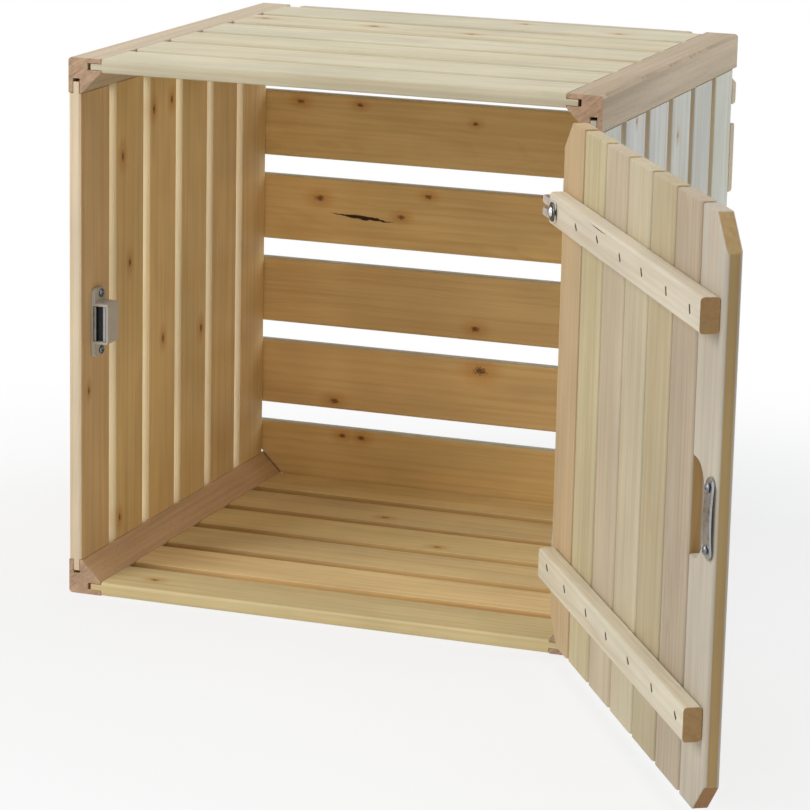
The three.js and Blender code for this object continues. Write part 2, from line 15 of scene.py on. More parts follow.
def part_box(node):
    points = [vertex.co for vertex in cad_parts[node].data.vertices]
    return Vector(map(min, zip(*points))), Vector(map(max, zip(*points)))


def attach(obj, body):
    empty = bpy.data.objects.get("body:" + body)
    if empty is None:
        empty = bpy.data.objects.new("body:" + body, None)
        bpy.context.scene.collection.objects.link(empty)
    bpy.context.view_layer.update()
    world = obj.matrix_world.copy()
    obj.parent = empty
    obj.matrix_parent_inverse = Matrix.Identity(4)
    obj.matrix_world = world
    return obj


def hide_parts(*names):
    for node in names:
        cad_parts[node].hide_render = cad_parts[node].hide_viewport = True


bl_info = {
    "name": "Kindling Box",
    "version": (1, 0, 0),
    "blender": (4, 5, 0),
    "location": "3D View > Sidebar > Kindling Box",
    "description": "Planed wood, fittings and a plain stage for a kindling box",
    "category": "Object",
}

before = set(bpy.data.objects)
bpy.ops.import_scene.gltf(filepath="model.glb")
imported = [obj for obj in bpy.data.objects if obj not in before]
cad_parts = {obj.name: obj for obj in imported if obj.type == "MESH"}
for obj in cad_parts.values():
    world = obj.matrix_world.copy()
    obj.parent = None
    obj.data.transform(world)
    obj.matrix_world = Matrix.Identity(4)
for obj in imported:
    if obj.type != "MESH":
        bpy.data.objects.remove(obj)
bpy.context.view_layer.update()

MM = 0.001
SIDE_SLATS = 6
SLAT_PITCH = 55 * MM

# The door's own frame: the hinge pin is the origin, +X runs to the free edge, -Y is inside.
DOOR = Matrix.Translation((0.16975, -0.1893, 0)) @ Matrix.Rotation(math.radians(-58), 4, "Z")
STILL = Matrix.Identity(4)
BATTEN_HEIGHTS = (67.5 * MM, 294.5 * MM)
BATTEN_FACE = -23.8 * MM

# Grain directions of each kind of board: along the grain, across it, and outwards.
ALONG_X_FACING_UP = ((1, 0, 0), (0, 1, 0), (0, 0, 1))
ALONG_Z_FACING_LEFT = ((0, 0, 1), (0, 1, 0), (-1, 0, 0))
ALONG_X_FACING_BACK = ((1, 0, 0), (0, 0, 1), (0, 1, 0))
ALONG_Z_FACING_BACK = ((0, 0, 1), (1, 0, 0), (0, 1, 0))
ALONG_X_FACING_FRONT = ((1, 0, 0), (0, 0, 1), (0, -1, 0))
ALONG_Y = ((0, 1, 0), (1, 0, 0), (0, 0, 1))

# Knots, in millimetres: along the grain, across it, and the knot's radius.
KNOTS = {
    "top": [
        (-143.8, 59.1, 2), (-60, 56, 2.2), (14.4, 48.8, 1.8), (83.7, 34.2, 1.7),
        (30.7, 119.9, 1.5), (106.1, 100.3, 1.8),
    ],
    "floor": [
        (20.3, -14, 1.6), (-104.2, -79.1, 2.8), (-42, -134.4, 2), (-126.7, -167.7, 1.7),
        (-39.9, 44, 1.7),
    ],
    "left": [
        (287.7, -122.6, 2), (213.2, -110.8, 1.8), (315.4, -41.4, 1.9), (312.6, -76.9, 1.8),
        (143.1, 12.4, 1.9), (149.2, -54.8, 1.8), (138.1, -176.3, 1.4), (226.9, -141.6, 1.4),
        (66.7, -77.9, 2), (37.6, -131.2, 1.6),
    ],
    "right": [(335.4, -109.5, 1.1), (311.9, -8.5, 1.2)],
    "back": [
        (-144.5, 292.6, 1.6), (-98.1, 293, 1.4), (-8.5, 285.6, 1.2), (-128.3, 221.6, 2),
        (-43.1, 229.5, 1.5), (-64.4, 212.5, 1.6), (-4.9, 134.2, 1.9), (-0.2, 103.1, 2.7),
        (-114.5, 68, 1.9), (-107.7, 44, 1.6), (-92.4, 42.6, 1.6),
    ],
    "door": [],
    "batten": [],
    "rail": [],
}

# Splits in the wood, in millimetres: their middle along the grain and across it, half their
# length, how much they lean across for each millimetre along, and half their width.
SPLITS = {"back": [(-94.5, 209.6, 27, -0.07, 1.35)], "batten": [(127, 302.2, 19, -0.03, 0.5)]}

# Colour of the earlywood in the boards of each side. Those of the right wall have greyed a little,
# and are painted greyer still for the cool shade on that side. The floor, left wall and back are
# painted warmer and more orange for the warm bounced light and shade inside the box.
SIDE_WOOD_AND_SHADE = {
    "top": "#d3caac",
    "floor": "#edd298",
    "left": "#f0d092",
    "right": "#c9c8be",
    "back": "#f1cd8b",
    "batten": "#ded4be",
}

# Front slats whose wood differs from the other slats of their side, and how strong its rings show.
FRONT_WOOD = {"floor": [("#d9c592", 0.2)], "left": [("#e1bf8b", 0.3)]}

# Colour of the faces of a side that look out of the box, where it differs. The faces inside keep
# the side's colour, painted warmer for the bounced light and shade in the box.
OUTER_WOOD = {"left": "#f3e1b8", "back": "#cbc2aa"}

# Painted light and shade on the boards' long edges, as a share of the faces' linear colour, where
# they differ: painted shade in the floor's gaps and between the door's boards, and painted light
# on the right wall's edges.
EDGE_LIGHT_AND_SHADE = {"floor": (0.78, 0.65, 0.48), "right": (1.3, 1.14, 0.92), "door": (0.92, 0.7, 0.36)}

# Each rail's wood.
RAIL_WOOD = {
    "top_left": "#c6b193",
    "top_right": "#af997b",
    "bottom_left": "#dab387",
    "bottom_right": "#c2a483",
}

# How dark the end grain is painted, from 0 to 1, at the low and the high end. The door's low ends
# also carry painted shade; its upper ends, in the light, almost none.
END_GRAIN_AND_SHADE = {"door": (1, 0.12), "back": (0.3, 0.3)}

# The rails' ends, which are greyer.
RAIL_END = "#bfa287"

# Each door board's earlywood, from the hinge, and how strong its growth rings show.
DOOR_WOOD = [
    ("#c8ae87", 0.15),
    ("#c8bb95", 0.12),
    ("#c6b79c", 0.3),
    ("#cabea0", 0.12),
    ("#bbad8c", 0.28),
    ("#baab94", 0.5),
    ("#c4baa8", 0.15),
]

# Staples in the battens, in millimetres and degrees: along the door, height, and lean.
STAPLES = {
    "lower": [
        (34.5, 70.3, 47), (77.4, 69.1, 38), (128, 69.3, 35), (173.5, 68.9, 36),
        (221, 68.9, 52), (269.9, 68.8, 32), (316.9, 68.2, 54),
    ],
    "upper": [
        (76.6, 294, 49), (124.5, 295.7, 49), (173.8, 294.8, 32),
        (218.8, 295.3, 30), (267.7, 294.7, 17), (312.7, 294.2, 16),
    ],
}
BATTEN_ARRIS = 0.25 * MM
SLOT_DEPTH = 0.25 * MM
SLOT_ROOM = 0.3 * MM

# Staples of the back: near the ends of the middle slats, and in a row on the outer two.
BACK_STAPLE_ENDS = (-0.17625, 0.17625)
BACK_STAPLE_INSET = 0.012
BACK_STAPLE_ROW = (-0.12, -0.04, 0.04, 0.12)
BACK_STAPLE_ROW_HEIGHTS = (0.0049, 0.3571)
BACK_STAPLE_LEG = 9 * MM

# Screws of the hinge leaves: radius and crown of the head, radius and length of the shank; then
# where the head's underside lies, across the leaf, away from the pin, and from the leaf's middle.
LEAF_SCREW = (2.1 * MM, 0.22 * MM, 1.1 * MM, 9 * MM)
LEAF_SCREW_ACROSS = 0.4 * MM
LEAF_SCREW_FROM_PIN = 7.4 * MM
LEAF_SCREW_FROM_MIDDLE = 10.5 * MM

# Screw of the strap, and the small screws of the catch and the keeper.
STRAP_SCREW_HEAD = 3.2 * MM
STRAP_SCREW_CROWN = 2.1 * MM
STRAP_SCREW_SHANK = 1.25 * MM
STRAP_SCREW_LENGTH = 20 * MM
SMALL_SCREW_HEAD = 2.9 * MM
SMALL_SCREW_CROWN = 1.7 * MM
SMALL_SCREW_SHANK = 1.4 * MM
CATCH_SCREW_LENGTH = 9.6 * MM
KEEPER_SCREW_LENGTH = 8 * MM

# Nicks along the top right rail's upper outer edge, in millimetres: along the rail, and how deep.
NICKS = [
    (-177, 1.2), (-96, 0.9), (-88, 1.1), (-31, 1.2), (-22, 0.8),
    (18, 1.5), (27, 1.1), (41, 0.9), (63, 1.3),
]


# What write_grain stores for the wood's materials, apart from knots and splits.
BOARD_FIELDS = ("grain", "heart", "tint", "face")


def linear(code):
    """An sRGB hex colour as linear red, green and blue."""
    parts = [int(code[i : i + 2], 16) / 255 for i in (1, 3, 5)]
    return tuple(c / 12.92 if c <= 0.04045 else ((c + 0.055) / 1.055) ** 2.4 for c in parts)


# ---------------------------------------------------------------------------------------------
# Settings
# ---------------------------------------------------------------------------------------------


def length(name, description, default):
    return bpy.props.FloatProperty(
        name=name, description=description, default=default, min=0, unit="LENGTH", precision=5
    )


def colour(name, description, code):
    return bpy.props.FloatVectorProperty(
        name=name, description=description, default=linear(code), min=0, max=1, size=3, subtype="COLOR"
    )


def power(name, description, watts):
    return bpy.props.FloatProperty(
        name=name, description=description, default=watts, min=0, unit="POWER"
    )


class KindlingWoodSettings(bpy.types.PropertyGroup):
    """Sizes and colours of the wood"""

    arris: length("Arris", "Width of the easing on the boards' sawn edges", 0.35 * MM)
    door_arris: length("Door arris", "Width of the easing on the door boards' edges", 0.8 * MM)
    ring_width: length("Ring width", "Growth rings' usual spacing in the spruce", 2.6 * MM)
    latewood: colour(
        "Latewood", "What the dark part of a growth ring leaves of the pale part's colour", "#dcbf98"
    )
    knot: colour("Knot", "Heart of a knot", "#5c381c")
    beech_fleck: colour("Rail fleck", "Short dark flecks in the beech", "#946a44")


class KindlingFittingSettings(bpy.types.PropertyGroup):
    """Sizes and colours of the fittings"""

    staple_crown: length("Staple crown", "Length of a staple's crown", 4.8 * MM)
    # The wire is drawn wide, so that its dark crown also covers the painted shade of the slot.
    staple_width: length("Staple width", "Width of a staple's wire", 2.6 * MM)
    staple_thickness: length("Staple thickness", "Thickness of a staple's wire", 0.5 * MM)
    staple_leg: length("Staple leg", "Depth of a staple's legs", 14 * MM)
    staple_sink: length("Staple depth", "How deep a staple's crown lies in the batten", 0.3 * MM)
    staple_slot: length("Staple slot", "Width of the slot that the staple's driver leaves", 3.2 * MM)
    zinc: colour("Zinc", "Zinc plating of the keeper, catch and screws", "#a4a6a8")
    screw: colour("Small screws", "Worn zinc of the screws in the catch and the keeper", "#7d7e80")
    plastic: colour("Catch", "Moulded plastic of the magnetic catch", "#c9c2b5")


class KindlingStageSettings(bpy.types.PropertyGroup):
    """Floor, lamps and the room's light"""

    floor: colour("Floor", "Pale floor", "#f1f0ed")
    shadow: bpy.props.FloatProperty(
        name="Shadow",
        description="Share of the lit floor that the camera sees",
        default=0.3,
        min=0,
        max=1,
        subtype="FACTOR",
    )
    key: power("Key lamp", "Power of the lamp at the front left", 51)
    side: power("Side lamp", "Power of the lamp at the right", 27)
    front: power("Front lamp", "Power of the lamp by the camera", 5)
    top: power("Top lamp", "Power of the lamp overhead", 19)
    ambient: bpy.props.FloatProperty(
        name="Ambient", description="Strength of the room's even light", default=0.08, min=0
    )


# ---------------------------------------------------------------------------------------------
# Nodes
# ---------------------------------------------------------------------------------------------


def add(tree, kind, *values, sockets=None, **settings):
    """Adds a node. Values, nodes or sockets fill its inputs in order, and sockets those by name or number."""
    node = tree.nodes.new(kind)
    for key, value in settings.items():
        setattr(node, key, value)
    for key, value in (dict(enumerate(values)) | (sockets or {})).items():
        if isinstance(value, bpy.types.Node):
            value = value.outputs[0]
        if isinstance(value, bpy.types.NodeSocket):
            tree.links.new(value, node.inputs[key])
        elif value is not None:
            node.inputs[key].default_value = value
    return node


def new_group(name, kind, inputs, outputs):
    """A node group with its sockets, and its input and output nodes."""
    tree = bpy.data.node_groups.new(name, kind)
    for way, rows in (("INPUT", inputs), ("OUTPUT", outputs)):
        for socket, socket_kind in rows:
            tree.interface.new_socket(name=socket, in_out=way, socket_type=socket_kind)
    return tree, tree.nodes.new("NodeGroupInput"), tree.nodes.new("NodeGroupOutput")


def streaks(tree, grain, stretch, shift, **sockets):
    """Noise drawn out along the grain. Stretch is how fast it changes for each millimetre."""
    place = add(tree, "ShaderNodeVectorMath", grain, stretch, shift, operation="MULTIPLY_ADD")
    return add(tree, "ShaderNodeTexNoise", place, sockets={"Scale": 1, **sockets}).outputs[0]


def knot_group():
    """How far a knot turns the grain aside at a place, and how many of its radii away the knot is."""
    tree, given, result = new_group(
        "Knot",
        "ShaderNodeTree",
        [("Place", "NodeSocketVector"), ("Knot", "NodeSocketVector")],
        [("Aside", "NodeSocketFloat"), ("Radii", "NodeSocketFloat")],
    )
    place = add(tree, "ShaderNodeSeparateXYZ", given.outputs["Place"])
    knot = add(tree, "ShaderNodeSeparateXYZ", given.outputs["Knot"])
    along = add(tree, "ShaderNodeMath", place.outputs[0], knot.outputs[0], operation="SUBTRACT")
    across = add(tree, "ShaderNodeMath", place.outputs[1], knot.outputs[1], operation="SUBTRACT")
    # A knot in planed softwood is an oval, longer along the grain.
    along = add(tree, "ShaderNodeMath", along, 0.6, operation="MULTIPLY")
    radius = add(tree, "ShaderNodeMath", knot.outputs[2], 0.001, operation="MAXIMUM")
    along = add(tree, "ShaderNodeMath", along, radius, operation="DIVIDE")
    wide = add(tree, "ShaderNodeMath", across, radius, operation="DIVIDE")
    square = add(tree, "ShaderNodeMath", along, along, operation="MULTIPLY")
    square = add(tree, "ShaderNodeMath", wide, wide, square, operation="MULTIPLY_ADD")
    fade = add(tree, "ShaderNodeMath", square, 1.5, operation="POWER")
    fade = add(tree, "ShaderNodeMath", fade, 1, operation="ADD")
    aside = add(tree, "ShaderNodeMath", across, fade, operation="DIVIDE")
    radii = add(tree, "ShaderNodeMath", square, operation="SQRT")
    tree.links.new(aside.outputs[0], result.inputs["Aside"])
    tree.links.new(radii.outputs[0], result.inputs["Radii"])
    return tree


def softwood_group():
    """Colour, roughness and height of planed spruce at a place in a board, in millimetres from its middle."""
    tree, given, result = new_group(
        "Planed spruce",
        "ShaderNodeTree",
        [("Latewood", "NodeSocketColor"), ("Knot", "NodeSocketColor"), ("Ring width", "NodeSocketFloat")],
        [("Color", "NodeSocketColor"), ("Roughness", "NodeSocketFloat"), ("Height", "NodeSocketFloat")],
    )
    grain, heart, tint, face = (
        add(tree, "ShaderNodeAttribute", attribute_name=name).outputs["Vector"] for name in BOARD_FIELDS
    )
    place = add(tree, "ShaderNodeSeparateXYZ", grain)
    heart = add(tree, "ShaderNodeSeparateXYZ", heart)
    face = add(tree, "ShaderNodeSeparateXYZ", face)
    seed = add(tree, "ShaderNodeMath", heart.outputs[0], 171.3, operation="MULTIPLY")
    shift = add(tree, "ShaderNodeCombineXYZ", seed, seed, seed)

    # Knots turn the grain aside.
    across = place.outputs[1]
    nearest = 1000.0
    group = knot_group()
    for index in (1, 2, 3):
        where = add(tree, "ShaderNodeAttribute", attribute_name=f"knot_{index}").outputs["Vector"]
        knot = add(tree, "ShaderNodeGroup", node_tree=group)
        tree.links.new(grain, knot.inputs["Place"])
        tree.links.new(where, knot.inputs["Knot"])
        across = add(tree, "ShaderNodeMath", across, knot.outputs["Aside"], operation="SUBTRACT")
        nearest = add(tree, "ShaderNodeMath", knot.outputs["Radii"], nearest, operation="MINIMUM")

    # Growth rings round the log's heart, which leans a little to the board.
    slope = add(tree, "ShaderNodeTexWhiteNoise", sockets={"W": seed}, noise_dimensions="1D")
    lean = add(tree, "ShaderNodeMapRange", slope.outputs["Value"], 0, 1, -0.05, 0.05)
    lean = add(tree, "ShaderNodeMath", place.outputs[0], lean, operation="MULTIPLY")
    waver = streaks(tree, grain, (0.005, 0.028, 0.028), shift, Detail=2)
    waver = add(tree, "ShaderNodeMapRange", waver, 0.3, 0.7, -4.5, 4.5, clamp=False)
    side = add(tree, "ShaderNodeMath", across, heart.outputs[1], operation="SUBTRACT")
    deep = add(tree, "ShaderNodeMath", place.outputs[2], heart.outputs[2], operation="SUBTRACT")
    deep = add(tree, "ShaderNodeMath", deep, lean, operation="SUBTRACT")
    radius = add(tree, "ShaderNodeMath", side, side, operation="MULTIPLY")
    radius = add(tree, "ShaderNodeMath", deep, deep, radius, operation="MULTIPLY_ADD")
    radius = add(tree, "ShaderNodeMath", radius, operation="SQRT")
    radius = add(tree, "ShaderNodeMath", radius, waver, operation="ADD")
    years = add(tree, "ShaderNodeMath", radius, given.outputs["Ring width"], operation="DIVIDE")
    spell = add(tree, "ShaderNodeMath", years, 0.22, seed, operation="MULTIPLY_ADD")
    growth = add(
        tree, "ShaderNodeTexNoise", noise_dimensions="1D", sockets={"W": spell, "Scale": 1, "Detail": 1}
    )
    years = add(tree, "ShaderNodeMath", growth.outputs[0], 3.2, years, operation="MULTIPLY_ADD")
    season = add(tree, "ShaderNodeMath", years, operation="FRACT")
    rise = add(tree, "ShaderNodeMapRange", season, 0.15, 0.85, interpolation_type="SMOOTHSTEP")
    drop = add(tree, "ShaderNodeMapRange", season, 0.86, 1, 1, 0, interpolation_type="SMOOTHSTEP")
    late = add(tree, "ShaderNodeMath", rise, drop, operation="MULTIPLY")
    year = add(tree, "ShaderNodeMath", years, operation="FLOOR")
    year = add(tree, "ShaderNodeTexWhiteNoise", sockets={"W": year}, noise_dimensions="1D")
    year = add(tree, "ShaderNodeMapRange", year.outputs["Value"], 0, 1, 0.15, 1)
    late = add(tree, "ShaderNodeMath", late, year, operation="MULTIPLY")
    late = add(tree, "ShaderNodeMath", late, face.outputs[2], operation="MULTIPLY")

    # Fibres about 0.3 mm wide, broader streaks about 3 mm wide, and slow changes of tone.
    fibre = streaks(tree, grain, (0.03, 3, 3), shift, Detail=3, Roughness=0.6)
    streak = streaks(tree, grain, (0.005, 0.32, 0.32), shift, Detail=4)
    cloud = streaks(tree, grain, (0.012, 0.03, 0.03), shift, Detail=2)
    broad = add(tree, "ShaderNodeMapRange", streak, 0.42, 0.75, 0, 0.4)
    dark = add(tree, "ShaderNodeMath", late, 0.6, broad, operation="MULTIPLY_ADD")
    leaves = add(
        tree, "ShaderNodeMix", dark, data_type="RGBA", clamp_factor=False,
        sockets={6: (1, 1, 1, 1), 7: given.outputs["Latewood"]},
    ).outputs[2]
    wood = add(tree, "ShaderNodeVectorMath", tint, leaves, operation="MULTIPLY")
    fine = add(tree, "ShaderNodeMapRange", fibre, 0.25, 0.75, 0.94, 1.05, clamp=False)
    slow = add(tree, "ShaderNodeMapRange", cloud, 0.3, 0.7, 0.91, 1.07, clamp=False)
    shade = add(tree, "ShaderNodeMath", fine, slow, operation="MULTIPLY")
    wood = add(tree, "ShaderNodeVectorMath", wood, sockets={3: shade}, operation="SCALE")

    # A knot has a reddish, resinous halo, a dark heart, and rings of its own.
    ragged = add(tree, "ShaderNodeTexNoise", grain, sockets={"Scale": 0.9, "Detail": 3})
    ragged = add(tree, "ShaderNodeMapRange", ragged.outputs[0], 0.3, 0.7, -0.5, 0.5, clamp=False)
    nearest = add(tree, "ShaderNodeMath", nearest, ragged, operation="ADD")
    halo = add(tree, "ShaderNodeMapRange", nearest, 0.8, 5, 0.75, 0, interpolation_type="SMOOTHSTEP")
    resin = add(tree, "ShaderNodeVectorMath", wood, (0.82, 0.6, 0.4), operation="MULTIPLY")
    wood = add(tree, "ShaderNodeMix", halo, data_type="RGBA", sockets={6: wood, 7: resin}).outputs[2]
    core = add(tree, "ShaderNodeMapRange", nearest, 0.4, 1.4, 0.85, 0, interpolation_type="SMOOTHSTEP")
    rings = add(tree, "ShaderNodeMath", nearest, 14, operation="MULTIPLY")
    rings = add(tree, "ShaderNodeMath", rings, operation="SINE")
    rings = add(tree, "ShaderNodeMapRange", rings, -1, 1, 0.8, 1.7)
    heartwood = add(
        tree, "ShaderNodeVectorMath", given.outputs["Knot"], sockets={3: rings}, operation="SCALE"
    )
    wood = add(tree, "ShaderNodeMix", core, data_type="RGBA", sockets={6: wood, 7: heartwood}).outputs[2]

    # A split is a crack along the grain, drawn as a lens painted dark for the shade inside it.
    split = add(tree, "ShaderNodeAttribute", attribute_name="split").outputs["Vector"]
    shape = add(tree, "ShaderNodeAttribute", attribute_name="split_shape").outputs["Vector"]
    split = add(tree, "ShaderNodeSeparateXYZ", split)
    shape = add(tree, "ShaderNodeSeparateXYZ", shape)
    along = add(tree, "ShaderNodeMath", place.outputs[0], split.outputs[0], operation="SUBTRACT")
    aside = add(tree, "ShaderNodeMath", place.outputs[1], split.outputs[1], operation="SUBTRACT")
    drift = add(tree, "ShaderNodeMath", along, shape.outputs[0], operation="MULTIPLY")
    aside = add(tree, "ShaderNodeMath", aside, drift, operation="SUBTRACT")
    jag = add(tree, "ShaderNodeVectorMath", grain, (0.12, 0.3, 0.3), operation="MULTIPLY")
    jag = add(tree, "ShaderNodeTexNoise", jag, sockets={"Scale": 1, "Detail": 3})
    jag = add(tree, "ShaderNodeMapRange", jag.outputs[0], 0.3, 0.7, -0.8, 0.8, clamp=False)
    jag = add(tree, "ShaderNodeMath", jag, shape.outputs[1], operation="MULTIPLY")
    aside = add(tree, "ShaderNodeMath", aside, jag, operation="ADD")
    aside = add(tree, "ShaderNodeMath", aside, operation="ABSOLUTE")
    reach = add(tree, "ShaderNodeMath", split.outputs[2], 0.001, operation="MAXIMUM")
    along = add(tree, "ShaderNodeMath", along, reach, operation="DIVIDE")
    along = add(tree, "ShaderNodeMath", along, along, operation="MULTIPLY")
    wide = add(tree, "ShaderNodeMath", 1, along, operation="SUBTRACT")
    wide = add(tree, "ShaderNodeMath", wide, shape.outputs[1], operation="MULTIPLY")
    inside = add(tree, "ShaderNodeMath", wide, aside, operation="SUBTRACT")
    inside = add(tree, "ShaderNodeMapRange", inside, 0, 0.35, 0, 1)
    split_shade = add(tree, "ShaderNodeVectorMath", given.outputs["Knot"], sockets={3: 0.5}, operation="SCALE")
    wood = add(tree, "ShaderNodeMix", inside, data_type="RGBA", sockets={6: wood, 7: split_shade}).outputs[2]

    # End grain drinks light. Its darkening also holds painted shade on the ends.
    ends = add(tree, "ShaderNodeVectorMath", wood, (0.62, 0.42, 0.22), operation="MULTIPLY")
    wood = add(
        tree, "ShaderNodeMix", face.outputs[0], data_type="RGBA", sockets={6: wood, 7: ends}
    ).outputs[2]

    # Neither a knot's heart nor a split has a sheen.
    dull = add(tree, "ShaderNodeMath", inside, core, operation="MAXIMUM")
    rough = add(tree, "ShaderNodeMapRange", fibre, 0.3, 0.7, 0.55, 0.72)
    rough = add(tree, "ShaderNodeMath", late, -0.1, rough, operation="MULTIPLY_ADD")
    rough = add(tree, "ShaderNodeMath", dull, 0.35, rough, operation="MULTIPLY_ADD", use_clamp=True)
    height = add(tree, "ShaderNodeMath", late, 0.5, fibre, operation="MULTIPLY_ADD")
    dent = add(tree, "ShaderNodeTexNoise", grain, sockets={"Scale": 0.18, "Detail": 3})
    dent = add(tree, "ShaderNodeMapRange", dent.outputs[0], 0.55, 0.8, 0, -3)
    dent = add(tree, "ShaderNodeMath", dent, face.outputs[1], operation="MULTIPLY")
    height = add(tree, "ShaderNodeMath", height, dent, operation="ADD")
    height = add(tree, "ShaderNodeMath", inside, -12, height, operation="MULTIPLY_ADD")
    tree.links.new(wood, result.inputs["Color"])
    for name, node in (("Roughness", rough), ("Height", height)):
        tree.links.new(node.outputs[0], result.inputs[name])
    return tree


def shader(name):
    """An empty material, its tree and its output."""
    material = bpy.data.materials.new(name)
    material.use_nodes = True
    tree = material.node_tree
    tree.nodes.clear()
    return material, tree, tree.nodes.new("ShaderNodeOutputMaterial")


def surfaced(tree, output, bump, sockets):
    """Gives a material its surface. Bump holds a strength, a distance and a height."""
    normal = add(tree, "ShaderNodeBump", sockets=dict(zip(("Strength", "Distance", "Height"), bump)))
    surface = add(tree, "ShaderNodeBsdfPrincipled", sockets={**sockets, "Normal": normal})
    tree.links.new(surface.outputs[0], output.inputs["Surface"])


def planed_spruce(name):
    """Planed spruce or pine, unfinished: pale earlywood, soft tan latewood lines, a dull sheen.

    Small knots are reddish brown. Each board brings the colour of its own earlywood."""
    wood = bpy.context.scene.kindling_wood
    group = bpy.data.node_groups.get("Planed spruce") or softwood_group()
    material, tree, output = shader(name)
    board = add(
        tree, "ShaderNodeGroup", node_tree=group,
        sockets={
            "Latewood": (*wood.latewood, 1),
            "Knot": (*wood.knot, 1),
            "Ring width": wood.ring_width / MM,
        },
    )
    look = {"Base Color": board.outputs["Color"], "Roughness": board.outputs["Roughness"], "IOR": 1.5}
    surfaced(tree, output, (0.6, 0.06 * MM, board.outputs["Height"]), look)
    return material


def planed_beech():
    """Planed beech, unfinished: an even pinkish brown with short dark flecks along the grain."""
    wood = bpy.context.scene.kindling_wood
    material, tree, output = shader("Planed beech")
    grain, heart, tint, face = (
        add(tree, "ShaderNodeAttribute", attribute_name=name).outputs["Vector"] for name in BOARD_FIELDS
    )
    face = add(tree, "ShaderNodeSeparateXYZ", face)
    shift = add(tree, "ShaderNodeVectorMath", heart, (90, 7, 7), operation="MULTIPLY")
    # Flecks are about 3 mm long and 0.3 mm wide, bands about 3 mm wide.
    fleck = streaks(tree, grain, (0.3, 2.6, 2.6), shift, Detail=2)
    dark = add(tree, "ShaderNodeMapRange", fleck, 0.58, 0.75, 0, 0.5)
    band = streaks(tree, grain, (0.008, 0.3, 0.3), shift, Detail=3)
    band = add(tree, "ShaderNodeMapRange", band, 0.3, 0.7, 0.86, 1.1, clamp=False)
    flecks = {6: tint, 7: (*wood.beech_fleck, 1)}
    base = add(tree, "ShaderNodeMix", dark, data_type="RGBA", sockets=flecks).outputs[2]
    base = add(tree, "ShaderNodeVectorMath", base, sockets={3: band}, operation="SCALE")
    # The rays show on the end grain as slanted streaks about 1.5 mm apart.
    rays = add(tree, "ShaderNodeVectorRotate", grain, sockets={"Angle": 0.9}, rotation_type="X_AXIS")
    rays = streaks(tree, rays, (0.1, 0.7, 0.09), shift, Detail=3)
    rays = add(tree, "ShaderNodeMapRange", rays, 0.35, 0.65, 0.8, 1.12, clamp=False)
    ends = add(tree, "ShaderNodeVectorMath", base, (0.92, 0.84, 0.76), operation="MULTIPLY")
    ends = add(tree, "ShaderNodeVectorMath", ends, sockets={3: rays}, operation="SCALE")
    base = add(
        tree, "ShaderNodeMix", face.outputs[0], data_type="RGBA", sockets={6: base, 7: ends}
    ).outputs[2]
    rough = add(tree, "ShaderNodeMapRange", fleck, 0.3, 0.7, 0.48, 0.66)
    height = add(tree, "ShaderNodeMath", dark, -1, fleck, operation="MULTIPLY_ADD")
    look = {"Base Color": base, "Roughness": rough, "IOR": 1.5}
    surfaced(tree, output, (0.5, 0.05 * MM, height), look)
    return material


def plated_steel(name, base, rough, spread, spangle):
    """Plated steel: bright metal whose plating is faintly cloudy, with hairline scratches.

    The cloudiness has patches of about spangle millimetres."""
    found = bpy.data.materials.get(name)
    if found:
        return found
    material, tree, output = shader(name)
    place = add(tree, "ShaderNodeTexCoord").outputs["Object"]
    cloud = add(tree, "ShaderNodeTexNoise", place, sockets={"Scale": 1 / (spangle * MM), "Detail": 3})
    tint = add(tree, "ShaderNodeMapRange", cloud.outputs[0], 0.3, 0.7, 0.86, 1.06, clamp=False)
    tint = add(tree, "ShaderNodeVectorMath", tuple(base), sockets={3: tint}, operation="SCALE")
    worn = add(
        tree, "ShaderNodeMapRange", cloud.outputs[0], 0.3, 0.7, rough - spread, rough + spread, clamp=False
    )
    scratch = add(tree, "ShaderNodeVectorMath", place, (6000, 6000, 300), operation="MULTIPLY")
    scratch = add(tree, "ShaderNodeTexNoise", scratch, sockets={"Scale": 1, "Detail": 2})
    look = {"Base Color": tint, "Roughness": worn, "Metallic": 1.0}
    surfaced(tree, output, (0.25, 0.02 * MM, scratch), look)
    return material


def bright_zinc():
    """Zinc-plated steel as new: the keeper's and the pole plates' even, pale grey shine."""
    zinc = bpy.context.scene.kindling_fittings.zinc
    return plated_steel("Zinc-plated steel", zinc, 0.32, 0.07, 4)


def moulded_plastic(name, base, rough):
    """Injection-moulded plastic: an even colour with a faint spark-eroded texture of 0.3 mm grains."""
    material, tree, output = shader(name)
    place = add(tree, "ShaderNodeTexCoord").outputs["Object"]
    grit = add(tree, "ShaderNodeTexNoise", place, sockets={"Scale": 1 / (0.3 * MM), "Detail": 2})
    flow = add(tree, "ShaderNodeTexNoise", place, sockets={"Scale": 1 / (9 * MM), "Detail": 2})
    tint = add(tree, "ShaderNodeMapRange", flow.outputs[0], 0.3, 0.7, 0.94, 1.04, clamp=False)
    tint = add(tree, "ShaderNodeVectorMath", tuple(base), sockets={3: tint}, operation="SCALE")
    worn = add(tree, "ShaderNodeMapRange", grit.outputs[0], 0.3, 0.7, rough - 0.06, rough + 0.06)
    look = {"Base Color": tint, "Roughness": worn, "IOR": 1.5}
    surfaced(tree, output, (0.3, 0.03 * MM, grit), look)
    return material


# ---------------------------------------------------------------------------------------------
# Meshes
# ---------------------------------------------------------------------------------------------


def merged_copy(node):
    """A CAD node's solid as a mesh whose doubles are merged and whose flat faces are whole."""
    shape = bmesh.new()
    shape.from_mesh(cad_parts[node].data)
    bmesh.ops.remove_doubles(shape, verts=shape.verts, dist=2e-6)
    bmesh.ops.dissolve_limit(shape, angle_limit=math.radians(0.5), verts=shape.verts, edges=shape.edges)
    return shape


